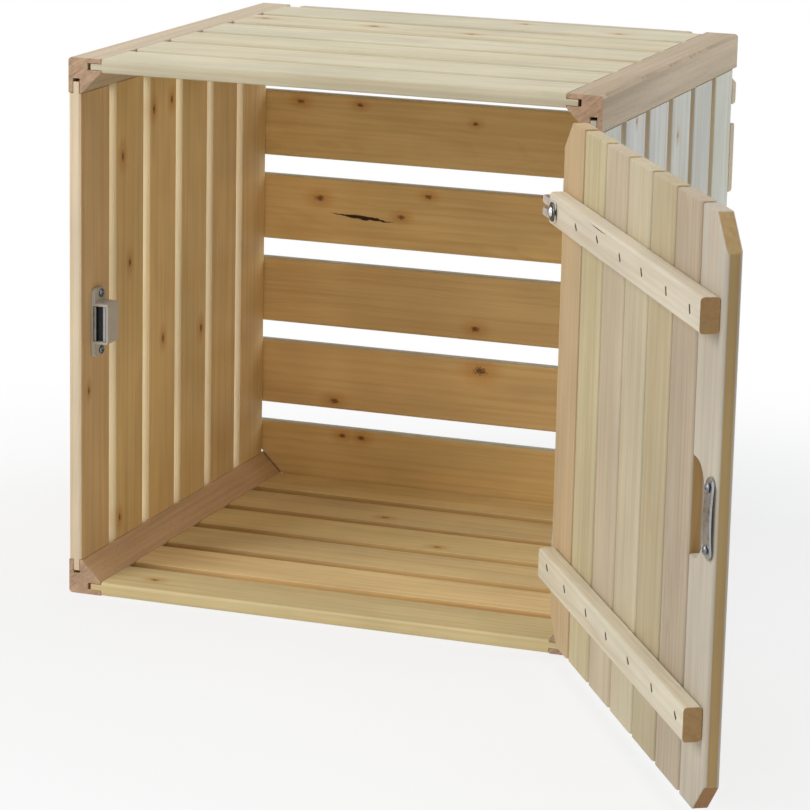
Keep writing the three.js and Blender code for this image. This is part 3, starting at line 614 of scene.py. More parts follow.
def show(name, shape):
    """A new object from a bmesh, at the origin."""
    mesh = bpy.data.meshes.new(name)
    shape.to_mesh(mesh)
    shape.free()
    if "custom_normal" in mesh.attributes:
        mesh.attributes.remove(mesh.attributes["custom_normal"])
    mesh.materials.clear()
    piece = bpy.data.objects.new(name, mesh)
    bpy.context.scene.collection.objects.link(piece)
    return piece


def bake(piece):
    """Turns a piece and its modifiers into a plain mesh."""
    bpy.context.view_layer.update()
    seen = piece.evaluated_get(bpy.context.evaluated_depsgraph_get())
    mesh = bpy.data.meshes.new_from_object(seen)
    old = piece.data
    piece.modifiers.clear()
    piece.data = mesh
    mesh.name = piece.name
    bpy.data.meshes.remove(old)
    return piece


def ease(piece, width, segments=2, angle=30):
    """Eases a piece's sharp edges and shades it by its large faces."""
    for polygon in piece.data.polygons:
        polygon.use_smooth = True
    bevel = piece.modifiers.new("Arrises", "BEVEL")
    bevel.width = width
    bevel.segments = segments
    bevel.limit_method = "ANGLE"
    bevel.angle_limit = math.radians(angle)
    weighted = piece.modifiers.new("Shading", "WEIGHTED_NORMAL")
    weighted.weight = 80
    return bake(piece)


def worked(node, how, width, **easing):
    """A copy of a CAD node's solid with its edges eased, named after how the piece is made."""
    return ease(show(f"{node}_{how}", merged_copy(node)), width, **easing)


def cut_away(piece, cutter):
    """Cuts a piece with another one, which goes."""
    cut = piece.modifiers.new("Cut", "BOOLEAN")
    cut.operation = "DIFFERENCE"
    cut.solver = "EXACT"
    cut.object = cutter
    bake(piece)
    bpy.data.objects.remove(cutter)


def door_box(*nodes):
    """Lowest and highest corners of nodes in the door's own frame."""
    back = DOOR.inverted()
    vertices = (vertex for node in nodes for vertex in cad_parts[node].data.vertices)
    corners = np.array([back @ vertex.co for vertex in vertices])
    return Vector(corners.min(0)), Vector(corners.max(0))


def dress(piece, material, slot, body, *nodes):
    """Gives a piece its material and the body it rides on, and hides the nodes it stands for. Slot is not
    used.
    """
    piece.data.materials.clear()
    piece.data.materials.append(material)
    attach(piece, body)
    if nodes:
        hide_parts(*nodes)


def write_attribute(mesh, name, kind, domain, values):
    attribute = mesh.attributes.new(name, kind, domain)
    field = "vector" if kind == "FLOAT_VECTOR" else "value"
    attribute.data.foreach_set(field, np.asarray(values, np.float32).ravel())


def write_grain(piece, axes, turn, side, boards_wood=()):
    """Stores each board's millimetres, log's heart, colour, knots and split on the piece."""
    mesh = piece.data
    turned = np.array([turn.to_3x3() @ Vector(axis) for axis in axes])
    points = np.zeros(len(mesh.vertices) * 3)
    mesh.vertices.foreach_get("co", points)
    along = (points.reshape(-1, 3) - np.array(turn.translation)) @ turned.T / MM
    boards = np.zeros(len(mesh.vertices), int)
    if "board" in mesh.attributes:
        mesh.attributes["board"].data.foreach_get("value", boards)
    names = ("grain", "heart", "tint", "knot_1", "knot_2", "knot_3", "split", "split_shape")
    stored = {name: np.zeros_like(along) for name in names}
    strength = np.zeros(len(along))
    for index in range(boards.max() + 1):
        mine = boards == index
        low, high = along[mine].min(0), along[mine].max(0)
        middle, half = (low + high) / 2, (high - low) / 2
        chance = random.Random(f"{piece.name} {index}")
        stored["grain"][mine] = along[mine] - middle
        # The heart of the log is beside the board or behind it. The seed is the materials' own.
        seed, beside = chance.random(), chance.uniform(-60, 60)
        stored["heart"][mine] = (seed, beside, chance.choice((-1, 1)) * chance.uniform(14, 50))
        shade = chance.uniform(0.93, 1.04)
        usual = zip(linear(SIDE_WOOD_AND_SHADE.get(side, "#ffffff")), (0, 0.01, 0.04))
        pale = [part * shade * chance.uniform(1 - reach, 1 + reach) for part, reach in usual]
        strength[mine] = chance.uniform(0.12, 0.4)
        if index < len(boards_wood):
            pale = linear(boards_wood[index][0])
            strength[mine] = boards_wood[index][1]
        stored["tint"][mine] = pale
        inside = [
            (u - middle[0], v - middle[1], *rest)
            for u, v, *rest in KNOTS[side] + SPLITS.get(side, [])
            if abs(u - middle[0]) < half[0] and abs(v - middle[1]) < half[1]
        ]
        found = [one for one in inside if len(one) == 3]
        for number, (u, v, radius) in enumerate(found[:3], 1):
            # A knot keeps off the board's rounded edges.
            room = half[1] - 2.5 - 2 * radius
            stored[f"knot_{number}"][mine] = (u, min(room, max(-room, v)), radius)
        for u, v, half_length, leans, width in (one for one in inside if len(one) == 5):
            stored["split"][mine] = (u, v, half_length)
            stored["split_shape"][mine] = (leans, width, 0)
    first = [polygon.vertices[0] for polygon in mesh.polygons]
    normals = np.array([polygon.normal for polygon in mesh.polygons]) @ turned.T
    # The door's upper ends stand in the light, so they get almost none of the end grain's painted shade.
    low, high = END_GRAIN_AND_SHADE.get(side, (1, 1))
    ends = np.where(normals[:, 0] < -0.7, low, np.where(normals[:, 0] > 0.7, high, 0))
    tint = stored.pop("tint")[first]
    # Faces inside keep the painted warmth of the box's inside; the rest get the side's outer colour.
    if side in OUTER_WOOD:
        tint[normals[:, 2] > -0.5] *= np.array(linear(OUTER_WOOD[side])) / linear(SIDE_WOOD_AND_SHADE[side])
    # The front slat's edge stands in the light, so it gets none of the edges' painted light and shade.
    slant = 0.2 if side == "door" else 0.5
    painted_edges = (np.abs(normals[:, 2]) < slant) & (np.abs(normals[:, 1]) > 0.65)
    painted_edges &= (boards[first] > 0) | (side == "door")
    tint[painted_edges] *= EDGE_LIGHT_AND_SHADE.get(side, (1, 1, 1))
    if side == "rail":
        tint[ends > 0] = linear(RAIL_END)
    write_attribute(mesh, "tint", "FLOAT_VECTOR", "FACE", tint)
    for name, values in stored.items():
        write_attribute(mesh, name, "FLOAT_VECTOR", "POINT", values)
    eased = (np.abs(normals).max(1) < 0.99).astype(float)
    write_attribute(mesh, "face", "FLOAT_VECTOR", "FACE", np.stack([ends, eased, strength[first]], 1))


def lathe(profile, steps, turn):
    """A closed turned solid from (radius, height) points, tip to crown, about the Z axis of turn."""
    shape = bmesh.new()
    rings = []
    for radius, height in profile:
        if radius == 0:
            rings.append([shape.verts.new(turn @ Vector((0, 0, height)))])
            continue
        angles = [2 * math.pi * step / steps for step in range(steps)]
        places = [Vector((radius * math.cos(a), radius * math.sin(a), height)) for a in angles]
        rings.append([shape.verts.new(turn @ place) for place in places])
    for lower, upper in zip(rings, rings[1:]):
        for step in range(steps):
            following = (step + 1) % steps
            corners = [lower[step % len(lower)], lower[following % len(lower)]]
            corners += [upper[following % len(upper)], upper[step % len(upper)]]
            shape.faces.new(list(dict.fromkeys(corners)))
    bmesh.ops.recalc_face_normals(shape, faces=shape.faces)
    return shape


def cross_recess(shape, turn, reach, width, depth):
    """Sinks a cross into the crown of a turned head that has fine enough faces."""
    back = turn.inverted()
    for vertex in shape.verts:
        x, y, z = back @ vertex.co
        if z <= 0:
            continue
        arms = []
        for long, short in ((abs(x), abs(y)), (abs(y), abs(x))):
            inside = min(1, max(0, (width / 2 + 0.08 * MM - short) / (0.16 * MM)))
            arms.append(inside * min(1, max(0, (reach - long) / (0.35 * reach))))
        vertex.co = turn @ Vector((x, y, z - depth * max(arms)))


def screw_shape(head, crown, shank, size, turn, recess=True):
    """A screw with a domed head and a cross recess: its head's underside is at the origin of turn."""
    rows = 16
    profile = [(0, -size), (shank, -size + 2 * MM), (shank, 0), (head * 0.97, 0), (head, 0.12 * MM)]
    for row in range(1, rows + 1):
        radius = head * (1 - row / rows)
        profile.append((radius, 0.12 * MM + (crown - 0.12 * MM) * math.sqrt(1 - (radius / head) ** 2)))
    shape = lathe(profile, 64, turn)
    if recess:
        cross_recess(shape, turn, head * 0.62, head * 0.3, crown * 0.6)
    return shape


# ---------------------------------------------------------------------------------------------
# Geometry Nodes
# ---------------------------------------------------------------------------------------------


def realize(tree, instances, given, result):
    """Makes instances a mesh of the given material, which the tree gives out."""
    mesh = add(tree, "GeometryNodeRealizeInstances", instances)
    mesh = add(
        tree, "GeometryNodeSetMaterial", sockets={"Geometry": mesh, "Material": given.outputs["Material"]}
    )
    tree.links.new(mesh.outputs[0], result.inputs[0])


def row_tree():
    """Repeats a board along Y, and numbers the boards."""
    tree, given, result = new_group(
        "Row of boards",
        "GeometryNodeTree",
        [
            ("Board", "NodeSocketGeometry"),
            ("Count", "NodeSocketInt"),
            ("Pitch", "NodeSocketFloat"),
            ("Material", "NodeSocketMaterial"),
        ],
        [("Row", "NodeSocketGeometry")],
    )
    step = add(tree, "ShaderNodeCombineXYZ", 0, given.outputs["Pitch"], 0)
    places = add(tree, "GeometryNodeMeshLine", sockets={"Count": given.outputs["Count"], "Offset": step})
    boards = add(
        tree, "GeometryNodeInstanceOnPoints", sockets={"Points": places, "Instance": given.outputs["Board"]}
    )
    number = add(tree, "GeometryNodeInputIndex")
    boards = add(
        tree, "GeometryNodeStoreNamedAttribute", domain="INSTANCE", data_type="INT",
        sockets={"Geometry": boards, "Name": "board", "Value": number},
    )
    realize(tree, boards, given, result)
    return tree


def staple_tree():
    """A staple of flat wire at each point. Its crown leans from Z, and its legs run to +Y."""
    tree, given, result = new_group(
        "Staples",
        "GeometryNodeTree",
        [
            ("Places", "NodeSocketGeometry"),
            ("Crown", "NodeSocketFloat"),
            ("Leg", "NodeSocketFloat"),
            ("Width", "NodeSocketFloat"),
            ("Thickness", "NodeSocketFloat"),
            ("Material", "NodeSocketMaterial"),
        ],
        [("Staples", "NodeSocketGeometry")],
    )
    number = add(tree, "GeometryNodeInputIndex")
    middle = add(tree, "ShaderNodeMath", number, 1.5, operation="SUBTRACT")
    away = add(tree, "ShaderNodeMath", middle, operation="ABSOLUTE")
    tip = add(tree, "ShaderNodeMath", away, 1, operation="GREATER_THAN")
    depth = add(tree, "ShaderNodeMath", tip, given.outputs["Leg"], operation="MULTIPLY")
    end = add(tree, "ShaderNodeMath", middle, operation="SIGN")
    half = add(tree, "ShaderNodeMath", given.outputs["Crown"], 0.5, operation="MULTIPLY")
    height = add(tree, "ShaderNodeMath", end, half, operation="MULTIPLY")
    corner = add(tree, "ShaderNodeCombineXYZ", 0, depth, height)
    wire = add(tree, "GeometryNodeMeshLine", sockets={"Count": 4})
    wire = add(tree, "GeometryNodeSetPosition", sockets={"Geometry": wire, "Position": corner})
    wire = add(tree, "GeometryNodeMeshToCurve", wire)
    bend = add(tree, "ShaderNodeMath", given.outputs["Thickness"], 1.2, operation="MULTIPLY")
    wire = add(
        tree, "GeometryNodeFilletCurve", sockets={"Curve": wire, "Radius": bend, "Count": 4}, mode="POLY"
    )
    section = add(
        tree, "GeometryNodeCurvePrimitiveQuadrilateral",
        sockets={"Width": given.outputs["Width"], "Height": given.outputs["Thickness"]},
    )
    ease_radius = add(tree, "ShaderNodeMath", given.outputs["Thickness"], 0.3, operation="MULTIPLY")
    section = add(
        tree, "GeometryNodeFilletCurve",
        sockets={"Curve": section, "Radius": ease_radius, "Count": 3},
        mode="POLY",
    )
    wire = add(
        tree, "GeometryNodeCurveToMesh", sockets={"Curve": wire, "Profile Curve": section, "Fill Caps": True}
    )
    lean = add(tree, "GeometryNodeInputNamedAttribute", "lean", data_type="FLOAT")
    lean = add(tree, "ShaderNodeCombineXYZ", 0, lean, 0)
    lean = add(tree, "FunctionNodeEulerToRotation", lean)
    staples = add(
        tree, "GeometryNodeInstanceOnPoints",
        sockets={"Points": given.outputs["Places"], "Instance": wire, "Rotation": lean},
    )
    realize(tree, staples, given, result)
    return tree


def screw_tree():
    """A screw at each point. The screw is an object whose own origin goes to the point."""
    tree, given, result = new_group(
        "Screws",
        "GeometryNodeTree",
        [("Places", "NodeSocketGeometry"), ("Screw", "NodeSocketObject"), ("Material", "NodeSocketMaterial")],
        [("Screws", "NodeSocketGeometry")],
    )
    screw = add(tree, "GeometryNodeObjectInfo", sockets={"Object": given.outputs["Screw"]})
    screws = add(
        tree, "GeometryNodeInstanceOnPoints",
        sockets={"Points": given.outputs["Places"], "Instance": screw.outputs["Geometry"]},
    )
    realize(tree, screws, given, result)
    return tree


def grow(piece, tree, **inputs):
    """Runs a tree on a piece with its inputs set by their identifiers, and makes the result its mesh."""
    modifier = piece.modifiers.new(tree.name, "NODES")
    modifier.node_group = tree
    for item in tree.interface.items_tree:
        key = item.name.lower().replace(" ", "_")
        if item.in_out == "INPUT" and key in inputs:
            modifier[item.identifier] = inputs[key]
    return bake(piece)


def points(name, places, leans=()):
    """An object that holds only points, and how much what stands on each leans."""
    mesh = bpy.data.meshes.new(name)
    mesh.from_pydata([tuple(place) for place in places], [], [])
    if leans:
        write_attribute(mesh, "lean", "FLOAT", "POINT", leans)
    piece = bpy.data.objects.new(name, mesh)
    bpy.context.scene.collection.objects.link(piece)
    return piece


def repeated_screws(name, screw, places, turn, material):
    """Screws of one kind at points, in the frame of turn, as one piece."""
    original = show(f"{name}_one", screw)
    piece = grow(points(name, places), screw_tree(), screw=original, material=material)
    bpy.data.objects.remove(original)
    piece.data.transform(turn)
    return ease_shading(piece)


def small_screws(fitting, places, turn, size, spread, body):
    """The two small screws of the catch or the keeper, at points in the frame of spread."""
    plating = bpy.context.scene.kindling_fittings.screw
    worn = plated_steel("Worn zinc-plated steel", plating, 0.3, 0.08, 2)
    screw = screw_shape(SMALL_SCREW_HEAD, SMALL_SCREW_CROWN, SMALL_SCREW_SHANK, size, turn)
    screws = repeated_screws(f"{fitting}_screws", screw, places, spread, worn)
    dress(screws, worn, "zinc_steel", body, f"{fitting}_screw_lower", f"{fitting}_screw_upper")


def ease_shading(piece, angle=35):
    """Smooth shading, broken at edges that are sharper than the angle."""
    piece.data.shade_smooth()
    piece.data.set_sharp_from_angle(angle=math.radians(angle))
    return piece


# ---------------------------------------------------------------------------------------------
# Operators
# ---------------------------------------------------------------------------------------------

# Rows of slats that are alike, and their grain directions.
ROWS = {
    "top": ALONG_X_FACING_UP,
    "floor": ALONG_X_FACING_UP,
    "left": ALONG_Z_FACING_LEFT,
    "right": ALONG_Z_FACING_LEFT,
}


class KINDLING_OT_slats(bpy.types.Operator):
    """Makes the slats of the top, floor and walls"""

    bl_idname = "kindling.slats"
    bl_label = "Slats"

    def execute(self, context):
        wood = context.scene.kindling_wood
        material = planed_spruce("Planed spruce slats")
        tree = row_tree()
        for side, axes in ROWS.items():
            nodes = [f"{side}_slat_{number}" for number in range(1, SIDE_SLATS + 1)]
            # The last slat has no screw holes.
            row = show(f"{side}_slats", merged_copy(nodes[-1]))
            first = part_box(nodes[0])[0].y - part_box(nodes[-1])[0].y
            row.data.transform(Matrix.Translation((0, first, 0)))
            ease(row, wood.arris)
            grow(row, tree, count=SIDE_SLATS, pitch=SLAT_PITCH, material=material)
            write_grain(row, axes, STILL, side, FRONT_WOOD.get(side, ()))
            dress(row, material, "slat_wood", "box", *nodes)
        return {"FINISHED"}


class KINDLING_OT_back(bpy.types.Operator):
    """Makes the slats of the back"""

    bl_idname = "kindling.back"
    bl_label = "Back slats"

    def execute(self, context):
        wood = context.scene.kindling_wood
        material = planed_spruce("Planed spruce back")
        for number in range(1, SIDE_SLATS + 1):
            node = f"back_slat_{number}"
            slat = worked(node, "planed", wood.arris)
            write_grain(slat, ALONG_X_FACING_BACK, STILL, "back")
            dress(slat, material, "slat_wood", "box", node)
        return {"FINISHED"}


class KINDLING_OT_rails(bpy.types.Operator):
    """Makes the corner rails"""

    bl_idname = "kindling.rails"
    bl_label = "Corner rails"

    def execute(self, context):
        material = planed_beech()
        for corner in ("top_left", "top_right", "bottom_left", "bottom_right"):
            node = f"rail_{corner}"
            rail = worked(node, "planed", context.scene.kindling_wood.arris)
            if corner == "top_right":
                cut_away(rail, self.nicks())
                ease_shading(rail)
            write_grain(rail, ALONG_Y, STILL, "rail", [(RAIL_WOOD[corner], 1)])
            dress(rail, material, "rail_wood", "box", node)
        return {"FINISHED"}

    def nicks(self):
        """Lumps where the rail's upper outer edge has been knocked."""
        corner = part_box("rail_top_right")[1]
        lumps = bmesh.new()
        for y, depth in NICKS:
            chance = random.Random(y)
            turn = Matrix.Rotation(chance.uniform(-0.4, 0.4), 4, "Z")
            turn = Matrix.Translation((corner.x, y * MM, corner.z)) @ turn
            size = Vector((depth + 0.9, chance.uniform(2, 3.5), depth + 0.9)) * MM
            for vertex in bmesh.ops.create_icosphere(lumps, subdivisions=2, radius=1)["verts"]:
                vertex.co = turn @ Vector(a * b * chance.uniform(0.85, 1.1) for a, b in zip(vertex.co, size))
        return show("rail_nicks", lumps)


class KINDLING_OT_door(bpy.types.Operator):
    """Makes the door's boards"""

    bl_idname = "kindling.door"
    bl_label = "Door boards"

    def execute(self, context):
        wood = context.scene.kindling_wood
        material = planed_spruce("Planed pine door")
        for number, board_wood in enumerate(DOOR_WOOD, 1):
            node = f"door_board_{number}"
            board = worked(node, "planed", wood.door_arris)
            write_grain(board, ALONG_Z_FACING_BACK, DOOR, "door", [board_wood])
            dress(board, material, "door_wood", "door", node)
        return {"FINISHED"}


def staples_of(batten):
    """Middle and lean of each staple of a batten, in the door's frame."""
    return [
        (Vector((x * MM, BATTEN_FACE, z * MM)), -math.radians(lean)) for x, z, lean in STAPLES[batten]
    ]


class KINDLING_OT_battens(bpy.types.Operator):
    """Makes the battens, with a slot under each staple"""

    bl_idname = "kindling.battens"
    bl_label = "Battens"

    def execute(self, context):
        fittings = context.scene.kindling_fittings
        material = planed_spruce("Planed spruce battens")
        depth = fittings.staple_sink + SLOT_DEPTH
        half = Vector((fittings.staple_slot / 2, depth, fittings.staple_crown / 2 + SLOT_ROOM))
        for name in STAPLES:
            node = f"door_batten_{name}"
            batten = show(f"{node}_planed", merged_copy(node))
            slots = bmesh.new()
            for place, lean in staples_of(name):
                turn = DOOR @ Matrix.Translation(place) @ Matrix.Rotation(lean, 4, "Y")
                for vertex in bmesh.ops.create_cube(slots, size=2)["verts"]:
                    # The slot narrows to its floor.
                    narrow = 0.6 if vertex.co.y > 0 else 1
                    corner = (vertex.co.x * half.x * narrow, vertex.co.y * half.y, vertex.co.z * half.z)
                    vertex.co = turn @ Vector(corner)
            cut_away(batten, show("staple_slots", slots))
            ease(batten, BATTEN_ARRIS)
            write_grain(batten, ALONG_X_FACING_FRONT, DOOR, "batten")
            dress(batten, material, "batten_wood", "door", node)
        return {"FINISHED"}


class KINDLING_OT_staples(bpy.types.Operator):
    """Makes the staples of the battens and of the back"""

    bl_idname = "kindling.staples"
    bl_label = "Staples"

    def execute(self, context):
        fittings = context.scene.kindling_fittings
        # The wire is painted nearly black, which also stands for the shade in the driver's slot round each
        # crown.
        material = plated_steel("Dull staple wire", linear("#3f3b35"), 0.5, 0.06, 3)
        tree = staple_tree()
        sizes = {
            "crown": fittings.staple_crown,
            "leg": fittings.staple_leg,
            "width": fittings.staple_width,
            "thickness": fittings.staple_thickness,
            "material": material,
        }
        sink = Vector((0, fittings.staple_sink, 0))
        inside = [(place + sink, lean) for name in STAPLES for place, lean in staples_of(name)]
        staples = grow(points("door_staples", *zip(*inside)), tree, **sizes)
        staples.data.transform(DOOR)
        dress(ease_shading(staples), material, "zinc_steel", "door")

        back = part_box("back_slat_1")[1].y - fittings.staple_thickness * 0.3
        rear = []
        for number in range(2, SIDE_SLATS):
            low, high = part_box(f"back_slat_{number}")
            for x in BACK_STAPLE_ENDS:
                rear.append((Vector((x, -back, low.z + BACK_STAPLE_INSET)), 0.3))
                rear.append((Vector((x, -back, high.z - BACK_STAPLE_INSET)), -0.2))
        for x in BACK_STAPLE_ROW:
            rear += [(Vector((x, -back, height)), 0.0) for height in BACK_STAPLE_ROW_HEIGHTS]
        staples = grow(points("back_staples", *zip(*rear)), tree, **sizes | {"leg": BACK_STAPLE_LEG})
        staples.data.transform(Matrix.Rotation(math.pi, 4, "Z"))
        dress(ease_shading(staples), material, "zinc_steel", "box")
        return {"FINISHED"}


class KINDLING_OT_hinges(bpy.types.Operator):
    """Makes the hinges and their countersunk screws"""

    bl_idname = "kindling.hinges"
    bl_label = "Hinges"

    def execute(self, context):
        fittings = context.scene.kindling_fittings
        material = plated_steel("Matt zinc-plated steel", linear("#dedad6"), 0.55, 0.06, 4)
        for height in ("upper", "lower"):
            for part, body in (("wall_leaf", "box"), ("pin", "box"), ("door_leaf", "door")):
                node = f"hinge_{height}_{part}"
                piece = worked(node, "plated", 0.12 * MM, angle=40)
                dress(piece, material, "zinc_steel", body, node)
        # The heads face the pin, 0.1 mm proud of a leaf's face.
        turn = Matrix.Rotation(math.radians(-90), 4, "Y")
        still_turn = Matrix.Translation(DOOR.translation)
        for body, way, spread in (("box", 1, still_turn), ("door", -1, DOOR)):
            places = [
                Vector((LEAF_SCREW_ACROSS, way * LEAF_SCREW_FROM_PIN, height + side * LEAF_SCREW_FROM_MIDDLE))
                for height in BATTEN_HEIGHTS
                for side in (-1, 1)
            ]
            screw = screw_shape(*LEAF_SCREW, turn, recess=False)
            piece = repeated_screws(f"hinge_screws_{body}", screw, places, spread, material)
            dress(piece, material, "zinc_steel", body)
        return {"FINISHED"}


class KINDLING_OT_strap_screw(bpy.types.Operator):
    """Makes the domed screw of the upper hinge's strap, and its washer"""

    bl_idname = "kindling.strap_screw"
    bl_label = "Strap screw"

    def execute(self, context):
        washer_material = plated_steel("Blackened steel", linear("#6f6c69"), 0.38, 0.08, 3)
        washer = worked("strap_washer", "turned", 0.15 * MM, angle=40)
        dress(washer, washer_material, "dark_steel", "door", "strap_washer")
        polish = plated_steel("Polished steel", linear("#d9dadb"), 0.12, 0.04, 5)
        low, high = door_box("strap_screw")
        seat = Vector(((low.x + high.x) / 2, low.y + STRAP_SCREW_CROWN, (low.z + high.z) / 2))
        turn = DOOR @ Matrix.Translation(seat) @ Matrix.Rotation(math.radians(90), 4, "X")
        sizes = (STRAP_SCREW_HEAD, STRAP_SCREW_CROWN, STRAP_SCREW_SHANK, STRAP_SCREW_LENGTH)
        screw = show("strap_screw_turned", screw_shape(*sizes, turn, recess=False))
        dress(ease_shading(screw), polish, "polished_steel", "door", "strap_screw")
        return {"FINISHED"}


class KINDLING_OT_catch(bpy.types.Operator):
    """Makes the magnetic catch and its screws"""

    bl_idname = "kindling.catch"
    bl_label = "Magnetic catch"

    def execute(self, context):
        fittings = context.scene.kindling_fittings
        plastic = moulded_plastic("Moulded catch plastic", fittings.plastic, 0.5)
        housing = worked("catch_housing", "moulded", 0.3 * MM, segments=3)
        dress(housing, plastic, "catch_plastic", "box", "catch_housing")
        ferrite = moulded_plastic("Pressed ferrite", linear("#2b2a29"), 0.75)
        magnet = worked("catch_magnet", "pressed", 0.3 * MM)
        dress(magnet, ferrite, "ferrite", "box", "catch_magnet")
        zinc = bright_zinc()
        for part in ("outer", "inner"):
            node = f"catch_pole_plate_{part}"
            plate = worked(node, "plated", 0.2 * MM)
            dress(plate, zinc, "zinc_steel", "box", node)
        turn = Matrix.Rotation(math.radians(90), 4, "Y")
        places = []
        for node in ("catch_screw_lower", "catch_screw_upper"):
            low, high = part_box(node)
            middle = ((low.y + high.y) / 2, (low.z + high.z) / 2)
            places.append(Vector((high.x - SMALL_SCREW_CROWN, *middle)))
        small_screws("catch", places, turn, CATCH_SCREW_LENGTH, STILL, "box")
        return {"FINISHED"}


class KINDLING_OT_keeper(bpy.types.Operator):
    """Makes the keeper plate and its screws"""

    bl_idname = "kindling.keeper"
    bl_label = "Keeper"

    def execute(self, context):
        keeper = worked("keeper_plate", "pressed", 0.25 * MM, angle=40)
        dress(keeper, bright_zinc(), "zinc_steel", "door", "keeper_plate")
        places = []
        for node in ("keeper_screw_lower", "keeper_screw_upper"):
            low, high = door_box(node)
            seat = low.y + SMALL_SCREW_CROWN
            places.append(Vector(((low.x + high.x) / 2, seat, (low.z + high.z) / 2)))
        turn = Matrix.Rotation(math.radians(90), 4, "X")
        small_screws("keeper", places, turn, KEEPER_SCREW_LENGTH, DOOR, "door")
        return {"FINISHED"}


def lamp(name, place, aim, size, power, tint=(1, 1, 1)):
    """A square soft lamp."""
    light = bpy.data.lights.new(name, "AREA")
    light.shape = "SQUARE"
    light.size = size
    light.energy = power
    light.color = tint
    holder = bpy.data.objects.new(name, light)
    bpy.context.scene.collection.objects.link(holder)
    holder.location = place
    holder.rotation_euler = (Vector(aim) - Vector(place)).to_track_quat("-Z", "Y").to_euler()


def seen_white(tree):
    """1 for the rays that show the background: from the camera, in metal and through glass."""
    rays = add(tree, "ShaderNodeLightPath").outputs
    share = add(tree, "ShaderNodeMath", rays["Is Camera Ray"], rays["Is Glossy Ray"], operation="MAXIMUM")
    return add(tree, "ShaderNodeMath", share, rays["Is Transmission Ray"], operation="MAXIMUM")


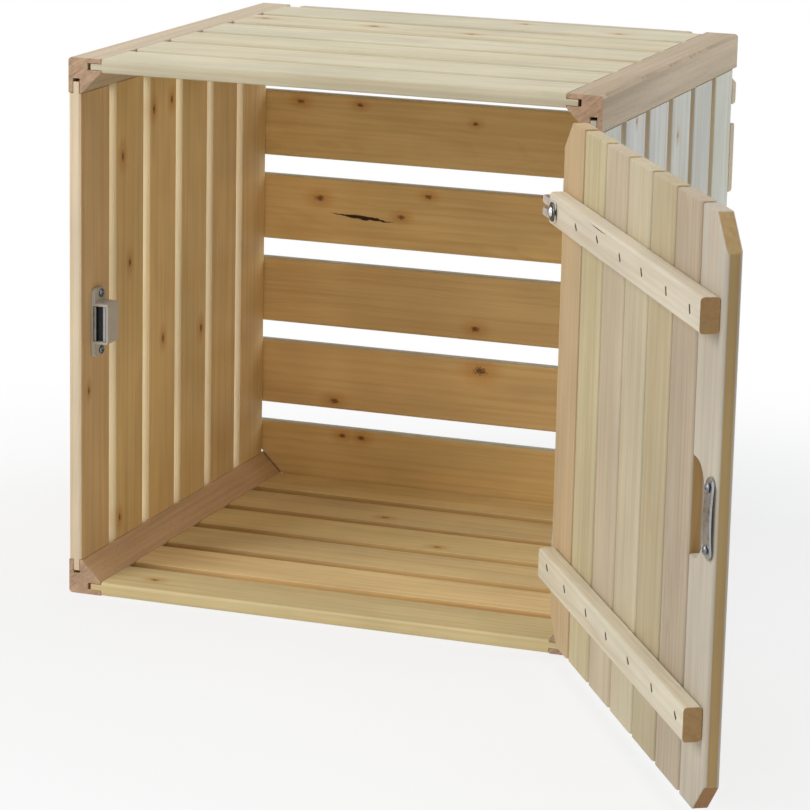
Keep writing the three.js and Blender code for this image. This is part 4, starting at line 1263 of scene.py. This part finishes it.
class KINDLING_OT_stage(bpy.types.Operator):
    """Makes the floor, the lamps, the room's light and the camera"""

    bl_idname = "kindling.stage"
    bl_label = "Stage"

    def execute(self, context):
        stage = context.scene.kindling_stage
        self.make_floor(stage)
        self.make_room(stage)
        lamp("Key lamp", (-1.6, -1.85, 1.7), (0.05, -0.1, 0.15), 1.6, stage.key, (0.98, 1, 1.03))
        lamp("Side lamp", (2.0, 1.1, 1.0), (0.1, -0.1, 0.2), 1.6, stage.side, (0.92, 1, 1.1))
        lamp("Front lamp", (0.6, -2.4, 0.7), (0.05, 0, 0.18), 1.4, stage.front)
        lamp("Top lamp", (0.1, 0, 2.2), (0.05, -0.05, 0.2), 1.8, stage.top, (0.97, 1, 1.05))
        self.make_camera(context)
        context.scene.view_settings.view_transform = "Standard"
        return {"FINISHED"}

    def make_floor(self, stage):
        """A pale painted floor. Seen by the camera it fades to the white of the room away from the box."""
        shape = bmesh.new()
        bmesh.ops.create_circle(shape, cap_ends=True, segments=64, radius=6)
        floor = show("Floor", shape)
        material, tree, output = shader("Pale painted floor")
        place = add(tree, "ShaderNodeTexCoord").outputs["Object"]
        grit = add(tree, "ShaderNodeTexNoise", place, sockets={"Scale": 260, "Detail": 2})
        bump = add(tree, "ShaderNodeBump", sockets={"Strength": 0.1, "Distance": 0.2 * MM, "Height": grit})
        paint = add(tree, "ShaderNodeBsdfDiffuse", (*stage.floor, 1), sockets={"Normal": bump})
        white = add(tree, "ShaderNodeEmission", (1, 1, 1, 1), 1.0)
        offset = add(tree, "ShaderNodeVectorMath", place, (0.06, -0.1, 0), operation="SUBTRACT")
        away = add(tree, "ShaderNodeVectorMath", offset, operation="LENGTH").outputs["Value"]
        near = 1 - stage.shadow
        faded = add(
            tree, "ShaderNodeMapRange", away, 0.3, 0.75, near, 1, interpolation_type="SMOOTHSTEP"
        )
        share = add(tree, "ShaderNodeMath", faded, seen_white(tree), operation="MULTIPLY")
        mixed = add(tree, "ShaderNodeMixShader", share, paint, white)
        tree.links.new(mixed.outputs[0], output.inputs["Surface"])
        floor.data.materials.append(material)

    def make_room(self, stage):
        """Even light from all round, and a white background."""
        world = bpy.data.worlds.new("Pale room")
        world.use_nodes = True
        tree = world.node_tree
        tree.nodes.clear()
        even = add(tree, "ShaderNodeBackground", (1, 1, 1, 1), stage.ambient)
        white = add(tree, "ShaderNodeBackground", (1, 1, 1, 1), 1.0)
        mixed = add(tree, "ShaderNodeMixShader", seen_white(tree), even, white)
        output = tree.nodes.new("ShaderNodeOutputWorld")
        tree.links.new(mixed.outputs[0], output.inputs["Surface"])
        bpy.context.scene.world = world

    def make_camera(self, context):
        """The photograph's camera."""
        yaw, pitch, roll = -0.34, -0.236, 0.0224
        forward = Vector((math.sin(yaw) * math.cos(pitch), math.cos(yaw) * math.cos(pitch), math.sin(pitch)))
        right = Vector((math.cos(yaw), -math.sin(yaw), 0))
        up = right.cross(forward)
        turned_right = math.cos(roll) * right + math.sin(roll) * up
        turned_up = math.cos(roll) * up - math.sin(roll) * right
        data = bpy.data.cameras.new("Camera")
        data.sensor_width = 36
        data.lens = 152.8
        data.shift_x = -0.01073
        data.shift_y = -0.00384
        data.clip_start = 0.1
        data.clip_end = 100
        camera = bpy.data.objects.new("Camera", data)
        context.scene.collection.objects.link(camera)
        turn = Matrix((turned_right, turned_up, -forward)).transposed().to_4x4()
        camera.matrix_world = Matrix.Translation((0.77516, -2.20363, 0.67063)) @ turn
        context.scene.camera = camera


class KINDLING_PT_box(bpy.types.Panel):
    """Kindling box: its pieces, sizes and colours"""

    bl_idname = "KINDLING_PT_box"
    bl_label = "Kindling Box"
    bl_space_type = "VIEW_3D"
    bl_region_type = "UI"
    bl_category = "Kindling Box"

    def draw(self, context):
        for operator in OPERATORS:
            self.layout.operator(operator.bl_idname)
        for name, _ in SETTINGS:
            settings = getattr(context.scene, name)
            box = self.layout.box()
            for key in settings.__annotations__:
                box.prop(settings, key)


SETTINGS = (
    ("kindling_wood", KindlingWoodSettings),
    ("kindling_fittings", KindlingFittingSettings),
    ("kindling_stage", KindlingStageSettings),
)
OPERATORS = (
    KINDLING_OT_stage,
    KINDLING_OT_slats,
    KINDLING_OT_back,
    KINDLING_OT_rails,
    KINDLING_OT_door,
    KINDLING_OT_battens,
    KINDLING_OT_staples,
    KINDLING_OT_hinges,
    KINDLING_OT_strap_screw,
    KINDLING_OT_catch,
    KINDLING_OT_keeper,
)


def register():
    for name, settings in SETTINGS:
        bpy.utils.register_class(settings)
        setattr(bpy.types.Scene, name, bpy.props.PointerProperty(type=settings))
    for operator in OPERATORS:
        bpy.utils.register_class(operator)
    bpy.utils.register_class(KINDLING_PT_box)


def unregister():
    bpy.utils.unregister_class(KINDLING_PT_box)
    for operator in reversed(OPERATORS):
        bpy.utils.unregister_class(operator)
    for name, settings in reversed(SETTINGS):
        delattr(bpy.types.Scene, name)
        bpy.utils.unregister_class(settings)


def main():
    register()
    bpy.ops.kindling.stage()
    bpy.ops.kindling.slats()
    bpy.ops.kindling.back()
    bpy.ops.kindling.rails()
    bpy.ops.kindling.door()
    bpy.ops.kindling.battens()
    bpy.ops.kindling.staples()
    bpy.ops.kindling.hinges()
    bpy.ops.kindling.strap_screw()
    bpy.ops.kindling.catch()
    bpy.ops.kindling.keeper()


if __name__ == "__main__":
    main()
